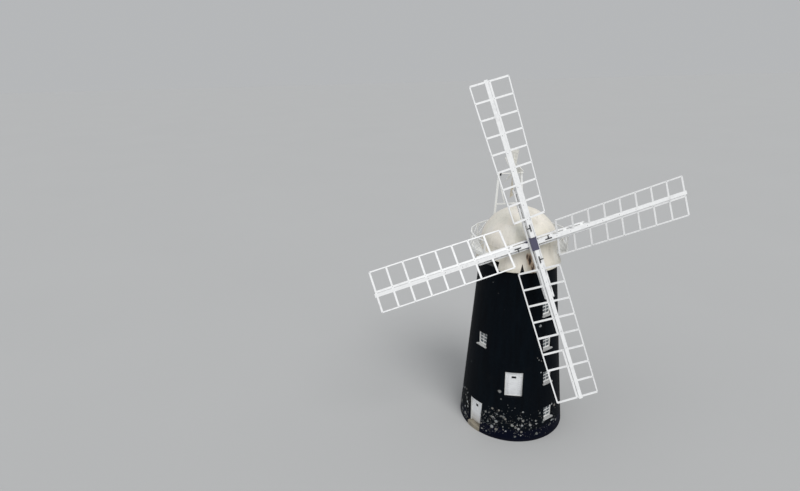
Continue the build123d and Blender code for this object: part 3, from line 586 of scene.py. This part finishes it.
MATERIALS = {
    "tarred_brick": tarred_brick(),
    "stone": plain_stone("stone", (0.20, 0.18, 0.14), (0.33, 0.29, 0.22)),
    "sill_stone": streaked_sill(),
    "floor_boards": timber("floor_boards", (0.20, 0.15, 0.10), (0.34, 0.26, 0.18), 0.18),
    "bare_timber": timber("bare_timber", (0.22, 0.18, 0.13), (0.36, 0.30, 0.22), 0.30),
    # Near-black tarred timber for the cap's ring; where the ring shows through the break in the skirt,
    # its darkness is also painted shade under the cap.
    "tarred_timber": timber("tarred_timber", (0.006, 0.006, 0.007), (0.020, 0.018, 0.017), 0.20),
    "deck_boards": timber("deck_boards", (0.66, 0.66, 0.64), (0.83, 0.83, 0.80), 0.14,
                          wear=(0.52, 0.52, 0.49)),
    "cap_boards": cap_skin(),
    "white_paint": paint("white_paint", (0.86, 0.86, 0.84), (0.76, 0.76, 0.74), (0.56, 0.55, 0.52)),
    "door_paint": door_paint(),
    "sail_paint": paint("sail_paint", (0.84, 0.84, 0.83), (0.74, 0.74, 0.74), (0.56, 0.56, 0.56)),
    "fan_paint": fan_paint(),
    "black_iron": iron("black_iron", (0.022, 0.023, 0.026), (0.12, 0.06, 0.035), 0.0, 0.45),
    "canister_iron": iron("canister_iron", (0.072, 0.069, 0.116), (0.17, 0.12, 0.12), 0.03, 0.5),
    "window_glass": window_glass(),
    # Painted shade: near-black sheets for the dark rooms seen through the small panes of the door and
    # the hatch.
    "pane_painted_shade": plain_stone("pane_painted_shade", (0.006, 0.007, 0.009), (0.012, 0.013, 0.016)),
}


def dress_nodes():
    for part in frame["record"]["subparts"]:
        node = frame["nodes"][part["node"]]
        node.data.materials.clear()
        node.data.materials.append(MATERIALS[part["material_slot"]])


dress_nodes()


# Pieces in mesh code

def linked(name, data):
    """A new object in the scene."""
    made = bpy.data.objects.new(name, data)
    bpy.context.scene.collection.objects.link(made)
    return made


def rectangle(x, y, z, inset=0.0):
    """Four points at one depth, from the lower left."""
    left, right = x[0] + inset, x[1] - inset
    low, high = z[0] + inset, z[1] - inset
    return [(left, y, low), (right, y, low), (right, y, high), (left, y, high)]


def ring_faces(rings, sides, first=0):
    """Faces between closed rings of points that follow each other."""
    faces = []
    for k in range(rings - 1):
        low = first + k * sides
        for i in range(sides):
            j = (i + 1) % sides
            faces.append((low + i, low + j, low + sides + j, low + sides + i))
    return faces


def strip_faces(rows, width):
    """Faces along a strip of rows of points, and its two ends."""
    faces = []
    for i in range(rows - 1):
        a = width * i
        b = a + width
        for k in range(width - 1):
            faces.append((a + k, b + k, b + k + 1, a + k + 1))
    last = width * (rows - 1)
    faces.append(tuple(range(width)))
    faces.append(tuple(reversed(range(last, last + width))))
    return faces


class Build:
    """Gathers the points and faces of one piece."""

    def __init__(self):
        self.points = []
        self.faces = []
        self.tints = []
        self.smooth = False

    def add(self, points, faces, place=Matrix(), tint=None):
        first = len(self.points)
        for point in points:
            self.points.append(place @ Vector(point))
        for face in faces:
            self.faces.append(tuple(first + i for i in face))
            self.tints.append(tint)

    def board(self, place, x, y, z, edge):
        """A board whose front, at the lower y, has its four edges taken off."""
        front, back = y
        points = rectangle(x, back, z) + rectangle(x, front + edge, z) + rectangle(x, front, z, edge)
        self.add(points, [(3, 2, 1, 0), (8, 9, 10, 11)] + ring_faces(3, 4), place)

    def bolt(self, place, x, y, z, size, sides=6):
        """A bolt head with its top edge taken off, on a washer. It points towards -Y."""
        radius, height = size
        rings = ((1.45 * radius, 0.0), (1.45 * radius, 0.22 * height), (radius, 0.22 * height),
                 (radius, 0.8 * height), (0.8 * radius, height))
        points = []
        for r, h in rings:
            for i in range(sides):
                a = 2 * math.pi * i / sides
                points.append((x + r * math.cos(a), y - h, z + r * math.sin(a)))
        faces = ring_faces(len(rings), sides)
        faces.append(tuple((len(rings) - 1) * sides + i for i in range(sides)))
        self.add(points, faces, place)

    def made(self, name, slot, body):
        mesh = bpy.data.meshes.new(name)
        mesh.from_pydata([tuple(p) for p in self.points], [], self.faces)
        mesh.validate()
        if any(tint is not None for tint in self.tints):
            layer = mesh.color_attributes.new("brick", "FLOAT_COLOR", "CORNER")
            values = []
            for polygon in mesh.polygons:
                values.extend((*self.tints[polygon.index], 1.0) * polygon.loop_total)
            layer.data.foreach_set("color", values)
        mesh.materials.append(MATERIALS[slot])
        for polygon in mesh.polygons:
            polygon.use_smooth = self.smooth
        piece = linked(name, mesh)
        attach(piece, body)


def spin(axis, degrees):
    return Matrix.Rotation(math.radians(degrees), 4, axis)


def moved(x, y, z):
    return Matrix.Translation((x, y, z))


def turned(azimuth):
    """The frame in which -Y points outwards at an azimuth."""
    return spin("Z", azimuth)


def on_circle(radius, turn, z):
    """A point at a turn, in radians, from -Y towards +X."""
    return radius * math.sin(turn), -radius * math.cos(turn), z


def flat_face(width, z):
    """Distance from the axis to a flat panel that lies just inside the curved face."""
    return math.sqrt(outer_radius(z) ** 2 - (width / 2) ** 2)


# Brickwork

def opening_blocks():
    """The parts of the wall without courses: azimuth, half width, foot and head."""
    blocks = [(DOOR_AZIMUTH, DOOR_WIDTH / 2, 0.0, DOOR_HEAD),
              (HATCH_AZIMUTH, HATCH_WIDTH / 2, HATCH_SILL, HATCH_SILL + HATCH_HEIGHT)]
    for azimuth, z in WINDOWS:
        half = WINDOW_WIDTH / 2
        foot = z - WINDOW_HEIGHT / 2
        blocks.append((azimuth, half, foot, z + WINDOW_HEIGHT / 2))
        blocks.append((azimuth, half + SILL_LUG, foot - SILL_HEIGHT, foot))
    return blocks


def arch_blocks():
    """The flat arches of upright bricks over the openings."""
    heads = [(DOOR_AZIMUTH, DOOR_WIDTH / 2, DOOR_HEAD),
             (HATCH_AZIMUTH, HATCH_WIDTH / 2, HATCH_SILL + HATCH_HEIGHT)]
    heads += [(azimuth, WINDOW_WIDTH / 2, z + WINDOW_HEIGHT / 2) for azimuth, z in WINDOWS]
    return [(azimuth, half + HEADER, head, head + ARCH) for azimuth, half, head in heads]


def centre_turn(azimuth):
    return math.radians((azimuth + 180) % 360 - 180)


def cut_by(rects, block, z_middle):
    """Takes a block away from rectangles of (turn, turn, low, high)."""
    azimuth, half, low, high = block
    centre = centre_turn(azimuth)
    reach = math.asin((half + JOINT / 2) / outer_radius(z_middle))
    a0, a1 = centre - reach, centre + reach
    left = []
    for r0, r1, z0, z1 in rects:
        if r1 <= a0 or r0 >= a1 or z1 <= low or z0 >= high:
            left.append((r0, r1, z0, z1))
            continue
        if r0 < a0:
            left.append((r0, a0, z0, z1))
        if r1 > a1:
            left.append((a1, r1, z0, z1))
        m0, m1 = max(r0, a0), min(r1, a1)
        if z0 < low:
            left.append((m0, m1, z0, low - JOINT / 2))
        if z1 > high:
            left.append((m0, m1, high + JOINT / 2, z1))
    return left


def lay_brick(build, turn0, turn1, z0, z1, dice):
    """The outer face and the sides of a brick, which stands a little proud of the wall."""
    proud = dice.uniform(*BRICK_PROUD)
    tint = (dice.random(), dice.random(), 0.0)
    points = []
    for z in (z0, z1):
        for out in (proud, -BRICK_SINK):
            for turn in (turn0, turn1):
                points.append(on_circle(outer_radius(z) + out, turn, z))
    faces = [(0, 1, 5, 4), (0, 2, 3, 1), (4, 5, 7, 6), (0, 4, 6, 2), (1, 3, 7, 5)]
    build.add(points, faces, tint=tint)


def lay_course(build, number, blocks, dice):
    """One course. Every fourth one is of headers."""
    z0 = number * COURSE
    z1 = z0 + COURSE - JOINT
    middle = z0 + COURSE / 2
    radius = outer_radius(middle)
    wanted = HEADER if number % 4 == 3 else STRETCHER
    count = round(2 * math.pi * radius / wanted)
    step = 2 * math.pi / count
    gap = JOINT / 2 / radius
    shift = (number % 2) * step / 2
    for i in range(count):
        start = -math.pi + i * step + shift
        rects = [(start + gap, start + step - gap, z0, z1)]
        for block in blocks:
            rects = cut_by(rects, block, middle)
        for turn0, turn1, low, high in rects:
            if (turn1 - turn0) * radius > LEAST_BRICK and high - low > LEAST_COURSE:
                lay_brick(build, turn0, turn1, low, high, dice)


def lay_arches(build, low, high, dice):
    for azimuth, half, foot, head in arch_blocks():
        if not low <= foot < high:
            continue
        centre = centre_turn(azimuth)
        radius = outer_radius(foot)
        reach = math.asin(half / radius)
        count = round(2 * half / COURSE)
        step = 2 * reach / count
        gap = JOINT / 2 / radius
        z0, z1 = foot + JOINT / 2, head - JOINT / 2
        for i in range(count):
            start = centre - reach + i * step
            lay_brick(build, start + gap, start + step - gap, z0, z1, dice)


def make_bricks():
    """The courses in four bands of the tower."""
    dice = random.Random(11)
    blocks = opening_blocks() + arch_blocks()
    courses = int(TOWER_TOP / COURSE)
    for name, first, last in (("bricks_low", 0, 40), ("bricks_middle", 40, 80),
                              ("bricks_high", 80, 120), ("bricks_top", 120, courses)):
        build = Build()
        near = [b for b in blocks if b[3] > first * COURSE and b[2] < last * COURSE]
        for number in range(first, last):
            lay_course(build, number, near, dice)
        lay_arches(build, first * COURSE, last * COURSE, dice)
        build.made(name, "tarred_brick", "tower")


# Windows

def glazed_opening(z):
    """The face of a window's frame, and the half width and half height inside the frame."""
    face = WINDOW_RECESS - flat_face(WINDOW_WIDTH, z + WINDOW_HEIGHT / 2)
    return face, WINDOW_WIDTH / 2 - WINDOW_FRAME, WINDOW_HEIGHT / 2 - WINDOW_FRAME


def add_window_bars(build):
    """An upright bar and two level ones, for six panes a window."""
    for azimuth, z in WINDOWS:
        place = turned(azimuth)
        face, half, rise = glazed_opening(z)
        depth = (face + BAR_DEPTH, face + GLASS_DEPTH + LAP)
        build.board(place, (-BAR_HALF, BAR_HALF), depth, (z - rise, z + rise), edge=0.005)
        for share in (-1 / 3, 1 / 3):
            level = z + share * rise
            for side in (-1, 1):
                x = sorted((side * BAR_HALF, side * half))
                build.board(place, x, depth, (level - BAR_HALF, level + BAR_HALF), edge=0.005)


def add_window_putty(build):
    """A slanted bead round every window's glass, so that it sits in the frame."""
    for azimuth, z in WINDOWS:
        face, half, rise = glazed_opening(z)
        glass = face + GLASS_DEPTH
        x, level = (-half, half), (z - rise, z + rise)
        points = rectangle(x, glass - PUTTY_RISE, level)
        points += rectangle(x, glass - LAP, level, PUTTY_WIDTH) + rectangle(x, glass, level)
        build.add(points, ring_faces(3, 4), turned(azimuth))


# Boards of the door and the hatch

def split_board(along, across, hole_along, hole_across):
    """What is left of a board round a hole, each part as (span along, span across)."""
    if across[1] <= hole_across[0] or across[0] >= hole_across[1]:
        return [(along, across)]
    parts = [((along[0], hole_along[0]), across), ((hole_along[1], along[1]), across)]
    if across[0] < hole_across[0] - SLIVER:
        parts.append((hole_along, (across[0], hole_across[0])))
    if across[1] > hole_across[1] + SLIVER:
        parts.append((hole_along, (hole_across[1], across[1])))
    return parts


def boards_across(build, place, leaf, x, z, count, upright, pane, dice):
    """Boards on a leaf's face, upright or level, left open round a small pane."""
    along, across = (z, x) if upright else (x, z)
    hole_along, hole_across = reversed(pane) if upright else pane
    width = (across[1] - across[0]) / count
    for i in range(count):
        start = across[0] + i * width + BOARD_GAP / 2
        end = across[0] + (i + 1) * width - BOARD_GAP / 2
        for part in split_board(along, (start, end), hole_along, hole_across):
            span_x, span_z = reversed(part) if upright else part
            front = leaf - BOARD_DEPTH - dice.uniform(0.0, BOARD_UNEVEN)
            build.board(place, span_x, (front, leaf + LAP), span_z, edge=0.0035)


def pane_trim(build, place, leaf, x, z):
    """Four strips on the boards round a pane."""
    x0, x1 = x
    z0, z1 = z
    wide = (x0 - TRIM_WIDTH, x1 + TRIM_WIDTH)
    front = leaf - BOARD_DEPTH
    for span_x, span_z in ((wide, (z1, z1 + TRIM_WIDTH)), (wide, (z0 - TRIM_WIDTH, z0)),
                           ((x0 - TRIM_WIDTH, x0), z), ((x1, x1 + TRIM_WIDTH), z)):
        build.board(place, span_x, (front - 0.012, front + 0.006), span_z, edge=0.003)


# A near-black sheet in a pane's opening, painted shade for the dark room behind the glass.
def make_pane_shade(name, body, place, leaf, pane):
    build = Build()
    build.board(place, pane[0], (leaf - PANE_DEPTH, leaf + LAP), pane[1], edge=0.001)
    build.made(name, "pane_painted_shade", body)


def make_door_boards():
    dice = random.Random(5)
    place = turned(DOOR_AZIMUTH)
    frame_face = DOOR_RECESS - flat_face(DOOR_WIDTH, DOOR_HEAD)
    leaf = frame_face + DOOR_FRAME_DEPTH - DOOR_LEAF
    half = DOOR_WIDTH / 2 - DOOR_FRAME_WIDTH - DOOR_PLAY
    head = DOOR_HEAD - DOOR_FRAME_WIDTH - 0.007
    build = Build()
    boards_across(build, place, leaf, (-half + 0.002, half - 0.002), (DOOR_FOOT, head),
                  DOOR_BOARDS, True, DOOR_PANE, dice)
    pane_trim(build, place, leaf, *DOOR_PANE)
    depth = (leaf - LEDGE_DEPTH, leaf - BOARD_DEPTH + LAP)
    for level in DOOR_LEDGES:
        build.board(place, (-half + 0.02, half - 0.02), depth, (level - 0.06, level + 0.06), edge=0.004)
    build.made("door_boards", "door_paint", "door")
    make_pane_shade("door_pane_shade", "door", place, leaf, DOOR_PANE)
    make_door_metal(place, leaf, half)


def make_door_metal(place, leaf, half):
    """The lock's plate, knob and keyhole, and a row of nails in each ledge."""
    build = Build()
    build.board(place, (half - 0.11, half - 0.05), (leaf - 0.020, leaf - 0.010),
                (LOCK_HEIGHT - 0.11, LOCK_HEIGHT + 0.05), edge=0.002)
    build.bolt(place, half - 0.08, leaf - 0.020, LOCK_HEIGHT, KNOB, 12)
    build.board(place, (half - 0.094, half - 0.066), (leaf - 0.028, leaf - 0.018),
                (LOCK_HEIGHT - 0.085, LOCK_HEIGHT - 0.055), edge=0.002)
    for level in DOOR_LEDGES:
        for k in range(LEDGE_NAILS):
            x = (half - NAIL_INSET) * (2 * k / (LEDGE_NAILS - 1) - 1)
            build.bolt(place, x, leaf - LEDGE_DEPTH, level, DOOR_NAIL)
    build.made("door_metal", "black_iron", "door")


def make_hatch_boards():
    dice = random.Random(6)
    place = turned(HATCH_AZIMUTH)
    frame_face = HATCH_RECESS - flat_face(HATCH_WIDTH, HATCH_SILL + HATCH_HEIGHT)
    leaf = frame_face + HATCH_FRAME_DEPTH - HATCH_LEAF
    half = HATCH_WIDTH / 2 - HATCH_FRAME_WIDTH
    foot = HATCH_SILL + HATCH_FRAME_WIDTH
    head = HATCH_SILL + HATCH_HEIGHT - HATCH_FRAME_WIDTH
    build = Build()
    boards_across(build, place, leaf, (-half + 0.002, half - 0.002), (foot + 0.002, head - 0.002),
                  HATCH_BOARDS, False, HATCH_PANE, dice)
    pane_trim(build, place, leaf, *HATCH_PANE)
    depth = (leaf - LEDGE_DEPTH, leaf - BOARD_DEPTH + LAP)
    for x in HATCH_LEDGES:
        build.board(place, (x - 0.05, x + 0.05), depth, (foot + 0.02, head - 0.02), edge=0.004)
    build.made("hatch_boards", "door_paint", "tower")
    make_pane_shade("hatch_pane_shade", "tower", place, leaf, HATCH_PANE)
    nails = Build()
    for x in HATCH_LEDGES:
        for k in range(HATCH_BOARDS):
            z = foot + (k + 0.5) * (head - foot) / HATCH_BOARDS
            nails.bolt(place, x, leaf - LEDGE_DEPTH, z, DOOR_NAIL)
    nails.made("hatch_metal", "black_iron", "tower")


# Cap

def cap_profile(foot=RIM_HEIGHT):
    """Points of the cap's side line from a height to the crown: radius, height, normal."""
    flare = RIM_RADIUS - DOME_RADIUS
    drop = DOME_FOOT - RIM_HEIGHT
    arc = (flare ** 2 + drop ** 2) / (2 * flare)
    rows = []
    for i in range(SKIRT_ROWS + 1):
        z = foot + (DOME_FOOT - foot) * i / SKIRT_ROWS
        down = DOME_FOOT - z
        level = math.sqrt(arc ** 2 - down ** 2)
        rows.append((DOME_RADIUS + arc - level, z, level / arc, down / arc))
    reach = DOME_RADIUS - SHOULDER
    top = DOME_TOP - SHOULDER
    centre = (top ** 2 - DOME_FOOT ** 2 - reach ** 2) / (2 * (top - DOME_FOOT))
    lift = math.atan2(DOME_FOOT - centre, reach)
    for r, z, size, start, end, count in (
            (reach, DOME_FOOT, SHOULDER, 0.0, lift, SHOULDER_ROWS),
            (0.0, centre, DOME_TOP - centre, lift, math.pi / 2, CROWN_ROWS)):
        for i in range(1, count + 1):
            a = start + (end - start) * i / count
            level, up = math.cos(a), math.sin(a)
            rows.append((r + size * level, z + size * up, level, up))
    return rows


def seam_azimuths():
    return [360 / GORES * (i + 0.5) - 180 for i in range(GORES)]


def seam_foot(azimuth):
    """Where a seam starts: at the rim, or over the break where the skirt is broken."""
    tops = [top for start, end, top in SKIRT_BREAKS if start < azimuth < end]
    return max(tops, default=RIM_HEIGHT)


def seam(build, azimuth):
    """A lap strip up the cap along one meridian."""
    a = math.radians(azimuth)
    out = Vector((math.sin(a), -math.cos(a), 0))
    side = Vector((math.cos(a), math.sin(a), 0))
    outline = ((-SEAM_HALF, -SEAM_SINK), (-SEAM_HALF, SEAM_RISE * 0.5),
               (-SEAM_HALF * 0.6, SEAM_RISE), (SEAM_HALF * 0.6, SEAM_RISE),
               (SEAM_HALF, SEAM_RISE * 0.5), (SEAM_HALF, -SEAM_SINK))
    rows = [row for row in cap_profile(seam_foot(azimuth)) if row[0] > SEAM_END]
    points = []
    for r, z, level, up in rows:
        base = out * r + Vector((0, 0, z))
        normal = out * level + Vector((0, 0, up))
        points += [base + side * x + normal * h for x, h in outline]
    build.add(points, strip_faces(len(rows), len(outline)))


def dome_band(build):
    """A strip all round the dome's foot."""
    steps = 96
    foot = DOME_FOOT - BAND_HEIGHT / 2
    outline = ((-SEAM_SINK, 0), (BAND_RISE, 0.15 * BAND_HEIGHT), (BAND_RISE, 0.85 * BAND_HEIGHT),
               (-SEAM_SINK, BAND_HEIGHT))
    points = []
    for i in range(steps + 1):
        a = math.radians(-180 + 360 * i / steps)
        points += [on_circle(DOME_RADIUS + out, a, foot + h) for out, h in outline]
    build.add(points, strip_faces(steps + 1, len(outline)))


def add_cap_seams(build):
    for azimuth in seam_azimuths():
        seam(build, azimuth)
    dome_band(build)


def add_cap_nails(build):
    """Nails up each seam."""
    for azimuth in seam_azimuths():
        place = turned(azimuth)
        for r, z, level, up in cap_profile(seam_foot(azimuth))[1:-4:2]:
            tilt = spin("X", -math.degrees(math.atan2(up, level)))
            build.bolt(place @ moved(0, -r, z) @ tilt, 0, -0.007, 0, CAP_NAIL)


def add_crown_cover(build):
    """A low cover where the gores meet."""
    build.smooth = True
    sides = 32
    points = [(0, 0, DOME_TOP + CROWN_PEAK)]
    for r, above in CROWN_RINGS:
        for i in range(sides):
            a = 2 * math.pi * i / sides
            points.append((r * math.cos(a), r * math.sin(a), DOME_TOP + above))
    faces = ring_faces(len(CROWN_RINGS), sides, 1)
    last = 1 + (len(CROWN_RINGS) - 1) * sides
    faces += [(last + i, last + (i + 1) % sides, 0) for i in range(sides)]
    build.add(points, faces)


# Gallery

def add_deck_planks(build):
    """Planks that run outwards on the deck, each with its top edges taken off."""
    dice = random.Random(8)
    inner, outer = DECK_INNER, GALLERY_RADIUS - PLANK_GAP
    sweep = GALLERY_END - GALLERY_START
    count = round(math.radians(sweep) * PLANK_RADIUS / PLANK_WIDTH)
    edge = 0.003
    for i in range(count):
        a0 = math.radians(GALLERY_START + i * (sweep / count))
        a1 = math.radians(GALLERY_START + (i + 1) * (sweep / count))
        top = DECK_TOP + PLANK_RISE + dice.uniform(0, PLANK_UNEVEN)
        points = []
        for inset, z in ((0.0, DECK_TOP - 0.004), (0.0, top - edge), (edge, top)):
            for r, a, sign in ((inner + inset, a0, 1), (outer - inset, a0, 1),
                               (outer - inset, a1, -1), (inner + inset, a1, -1)):
                points.append(on_circle(r, a + sign * (PLANK_GAP + inset) / r, z))
        build.add(points, [(8, 9, 10, 11)] + ring_faces(3, 4))


def gallery_azimuths():
    """Where the posts of the railing stand."""
    margin = math.degrees(RAIL_POST / 2 / GALLERY_RADIUS)
    first = GALLERY_START + margin
    step = (GALLERY_END - GALLERY_START - 2 * margin) / GALLERY_BAYS
    return [first + i * step for i in range(GALLERY_BAYS + 1)]


def add_gallery_bolts(build):
    for azimuth in gallery_azimuths():
        place = turned(azimuth)
        for z in (RAIL_TOP - RAIL_BAR / 2, RAIL_LOW + RAIL_BAR / 2):
            build.bolt(place, 0, -GALLERY_RADIUS + LAP, DECK_TOP + z, RAIL_BOLT)


# Sails

def arm_place(arm):
    """The frame in which +Z runs out along an arm and -Y points forwards along the shaft."""
    shaft = Matrix.Translation(HUB) @ spin("X", -SHAFT_TILT)
    return shaft @ spin("Y", 90 - ARM_ANGLE + 90 * arm)


def pair_plane(arm):
    """How far an arm's pair of sails lies behind the hub's middle."""
    return -PAIR_OFFSET if arm % 2 == 0 else PAIR_OFFSET


def weather(r):
    """The angle of the bars to the plane of the sails, at a distance from the hub."""
    share = (r - HEEL_RADIUS) / (SAIL_RADIUS - HEEL_RADIUS)
    return WEATHER_HEEL + (WEATHER_TIP - WEATHER_HEEL) * share


def add_sail_bolts(build):
    """Bolts where bars and long bars cross, and through the whips."""
    for arm in range(4):
        place = arm_place(arm) @ moved(0, pair_plane(arm), 0)
        for i in range(SAIL_BAYS + 1):
            r = HEEL_RADIUS + i * (SAIL_RADIUS - HEEL_RADIUS) / SAIL_BAYS
            bar = place @ moved(0, 0, r) @ spin("Z", weather(r))
            for across in (-LEADING, UPLONG, TRAILING):
                if (arm, i) == MISSING_BAR and across == TRAILING:
                    continue
                build.bolt(bar, across, -BAR_THICKNESS / 2, 0, BAR_BOLT)
        for z in WHIP_BOLTS:
            front = WHIP_DEPTH / 2 - WHIP_TAPER * z / SAIL_RADIUS
            build.bolt(place, 0, -front, z + BOLT_SHIFT, LARGE_BOLT)


def add_clamp_bolts(build):
    """Bolts through the sides of the clamps, a pair at each block."""
    for arm in (0, 1):
        middle = pair_plane(arm) + WHIP_DEPTH / 2 + CLAMP_INSET + CLAMP_DEPTH / 2
        for side in (-1, 1):
            face = side * (CANISTER_HALF + CLAMP_WIDTH)
            for block in CLAMP_BLOCKS:
                for z in (-block - 0.05, -block + 0.05, block - 0.05, block + 0.05):
                    head = arm_place(arm) @ moved(face, middle, z) @ spin("Z", 90 * side)
                    build.bolt(head, 0, 0, 0, LARGE_BOLT)


def add_canister_ribs(build):
    """Flanges on the front of the canister at its two mouths, and its bolts."""
    front = pair_plane(0) + WHIP_DEPTH / 2 - CANISTER_WALL
    for turn in (0, 180):
        place = arm_place(0) @ spin("Y", turn)
        build.board(place, (-CANISTER_HALF, CANISTER_HALF), (front - FLANGE_DEPTH, front + 0.01),
                    (CANISTER_REACH - FLANGE_LENGTH, CANISTER_REACH), edge=0.006)
        for x in (-0.16, 0.0, 0.16):
            build.bolt(place, x, front - FLANGE_DEPTH, CANISTER_REACH - FLANGE_LENGTH / 2, LARGE_BOLT)
        for x in (-0.15, 0.15):
            for z in (0.08, 0.22):
                build.bolt(place, x, front, z, BOX_BOLT)


# Fantail

def blade_place(i):
    """The frame in which +Z runs out along a blade and X crosses its thickness."""
    turn = spin("X", FAN_FIRST - 90 + 360 / FAN_BLADES * i)
    return Matrix.Translation(FAN) @ turn @ spin("Z", FAN_PITCH)


def add_fan_bolts(build):
    """Bolts through each blade into its arm."""
    side = moved(FAN_ARM / 2 + BLADE_THICKNESS, 0, 0) @ spin("Z", 90)
    for i in range(FAN_BLADES):
        for z in BLADE_BOLTS:
            build.bolt(blade_place(i) @ side, 0, 0, z, BLADE_BOLT)


def add_fan_ledges(build):
    """Thin battens across the back of each blade, on both sides of its arm."""
    side = moved(FAN_ARM / 2, 0, 0) @ spin("Z", -90)
    for i in range(FAN_BLADES):
        for z in BLADE_LEDGES:
            share = (z - BLADE_START) / (FAN_RADIUS - BLADE_START)
            width = BLADE_ROOT_WIDTH + (BLADE_TIP_WIDTH - BLADE_ROOT_WIDTH) * share
            half = width / 2 - 0.02
            for x in ((-half, -FAN_ARM / 2), (FAN_ARM / 2, half)):
                build.board(blade_place(i) @ side, x, (-0.018, 0.002),
                            (z - LEDGE_HALF, z + LEDGE_HALF), edge=0.004)


# Pieces of one slot each: name, slot, body and the function that fills it
PIECES = (
    ("window_bars", "white_paint", "tower", add_window_bars),
    ("window_putty", "white_paint", "tower", add_window_putty),
    ("cap_seams", "cap_boards", "cap", add_cap_seams),
    ("cap_nails", "black_iron", "cap", add_cap_nails),
    ("crown_cover", "cap_boards", "cap", add_crown_cover),
    ("deck_planks", "deck_boards", "cap", add_deck_planks),
    ("gallery_bolts", "black_iron", "cap", add_gallery_bolts),
    ("sail_bolts", "black_iron", "sails", add_sail_bolts),
    ("clamp_bolts", "black_iron", "sails", add_clamp_bolts),
    ("canister_ribs", "canister_iron", "sails", add_canister_ribs),
    ("fan_bolts", "black_iron", "fan", add_fan_bolts),
    ("fan_ledges", "fan_paint", "fan", add_fan_ledges),
)


make_bricks()
make_door_boards()
make_hatch_boards()
for name, slot, body, fill in PIECES:
    build = Build()
    fill(build)
    build.made(name, slot, body)


# Lights, floor and camera

def floor_material():
    net = Net("floor_plain")
    light = (0.42, 0.42, 0.415)
    dark = tuple(0.985 * v for v in light)
    return net.finish(net.ramp(net.noise(0.05, 2), (0.3, dark), (0.7, light)), 0.9)


def make_floor():
    half = 600.0
    mesh = bpy.data.meshes.new("floor")
    corners = [(-half, -half, 0), (half, -half, 0), (half, half, 0), (-half, half, 0)]
    mesh.from_pydata(corners, [], [(0, 1, 2, 3)])
    floor = linked("floor", mesh)
    mesh.materials.append(floor_material())


def make_sun(name, azimuth, elevation, strength, angle):
    """A soft light from a direction, in degrees, with its disc's angle."""
    lamp = bpy.data.lights.new(name, "SUN")
    lamp.energy = strength
    lamp.angle = math.radians(angle)
    sun = linked(name, lamp)
    e = math.radians(elevation)
    towards = Vector(on_circle(math.cos(e), math.radians(azimuth), math.sin(e)))
    sun.rotation_euler = towards.to_track_quat("Z", "Y").to_euler()


def background(tree, colour, strength):
    node = tree.nodes.new("ShaderNodeBackground")
    node.inputs[0].default_value = (*colour, 1)
    node.inputs[1].default_value = strength
    return node.outputs[0]


def larger(tree, a, b):
    node = tree.nodes.new("ShaderNodeMath")
    node.operation = "MAXIMUM"
    tree.links.new(a, node.inputs[0])
    tree.links.new(b, node.inputs[1])
    return node.outputs[0]


def make_world():
    """A pale sky that lights the part, with a calmer tone where it is seen."""
    world = bpy.data.worlds.new("sky")
    world.use_nodes = True
    tree = world.node_tree
    tree.nodes.clear()
    path = tree.nodes.new("ShaderNodeLightPath").outputs
    seen = larger(tree, path["Is Camera Ray"], path["Is Glossy Ray"])
    seen = larger(tree, seen, path["Is Transmission Ray"])
    mix = tree.nodes.new("ShaderNodeMixShader")
    tree.links.new(seen, mix.inputs[0])
    tree.links.new(background(tree, (0.93, 0.96, 1.0), 0.62), mix.inputs[1])
    tree.links.new(background(tree, (0.93, 0.95, 0.97), 0.50), mix.inputs[2])
    output = tree.nodes.new("ShaderNodeOutputWorld")
    tree.links.new(mix.outputs[0], output.inputs[0])
    bpy.context.scene.world = world


def make_camera():
    forward = Vector((math.sin(YAW) * math.cos(PITCH), math.cos(YAW) * math.cos(PITCH),
                      -math.sin(PITCH)))
    level = Vector((math.cos(YAW), -math.sin(YAW), 0))
    upright = level.cross(forward)
    right = math.cos(ROLL) * level + math.sin(ROLL) * upright
    up = -math.sin(ROLL) * level + math.cos(ROLL) * upright
    data = bpy.data.cameras.new("camera")
    data.sensor_width = SENSOR
    data.lens = LENS
    data.clip_end = 2000
    camera = linked("camera", data)
    turn = Matrix((right, up, -forward)).transposed().to_4x4()
    camera.matrix_world = Matrix.Translation(CAMERA_AT) @ turn
    bpy.context.scene.camera = camera


make_floor()
make_sun("sun", azimuth=20, elevation=52, strength=1.8, angle=30)
make_sun("fill", azimuth=-70, elevation=30, strength=0.4, angle=60)
make_world()
make_camera()
bpy.context.scene.view_settings.view_transform = "Standard"
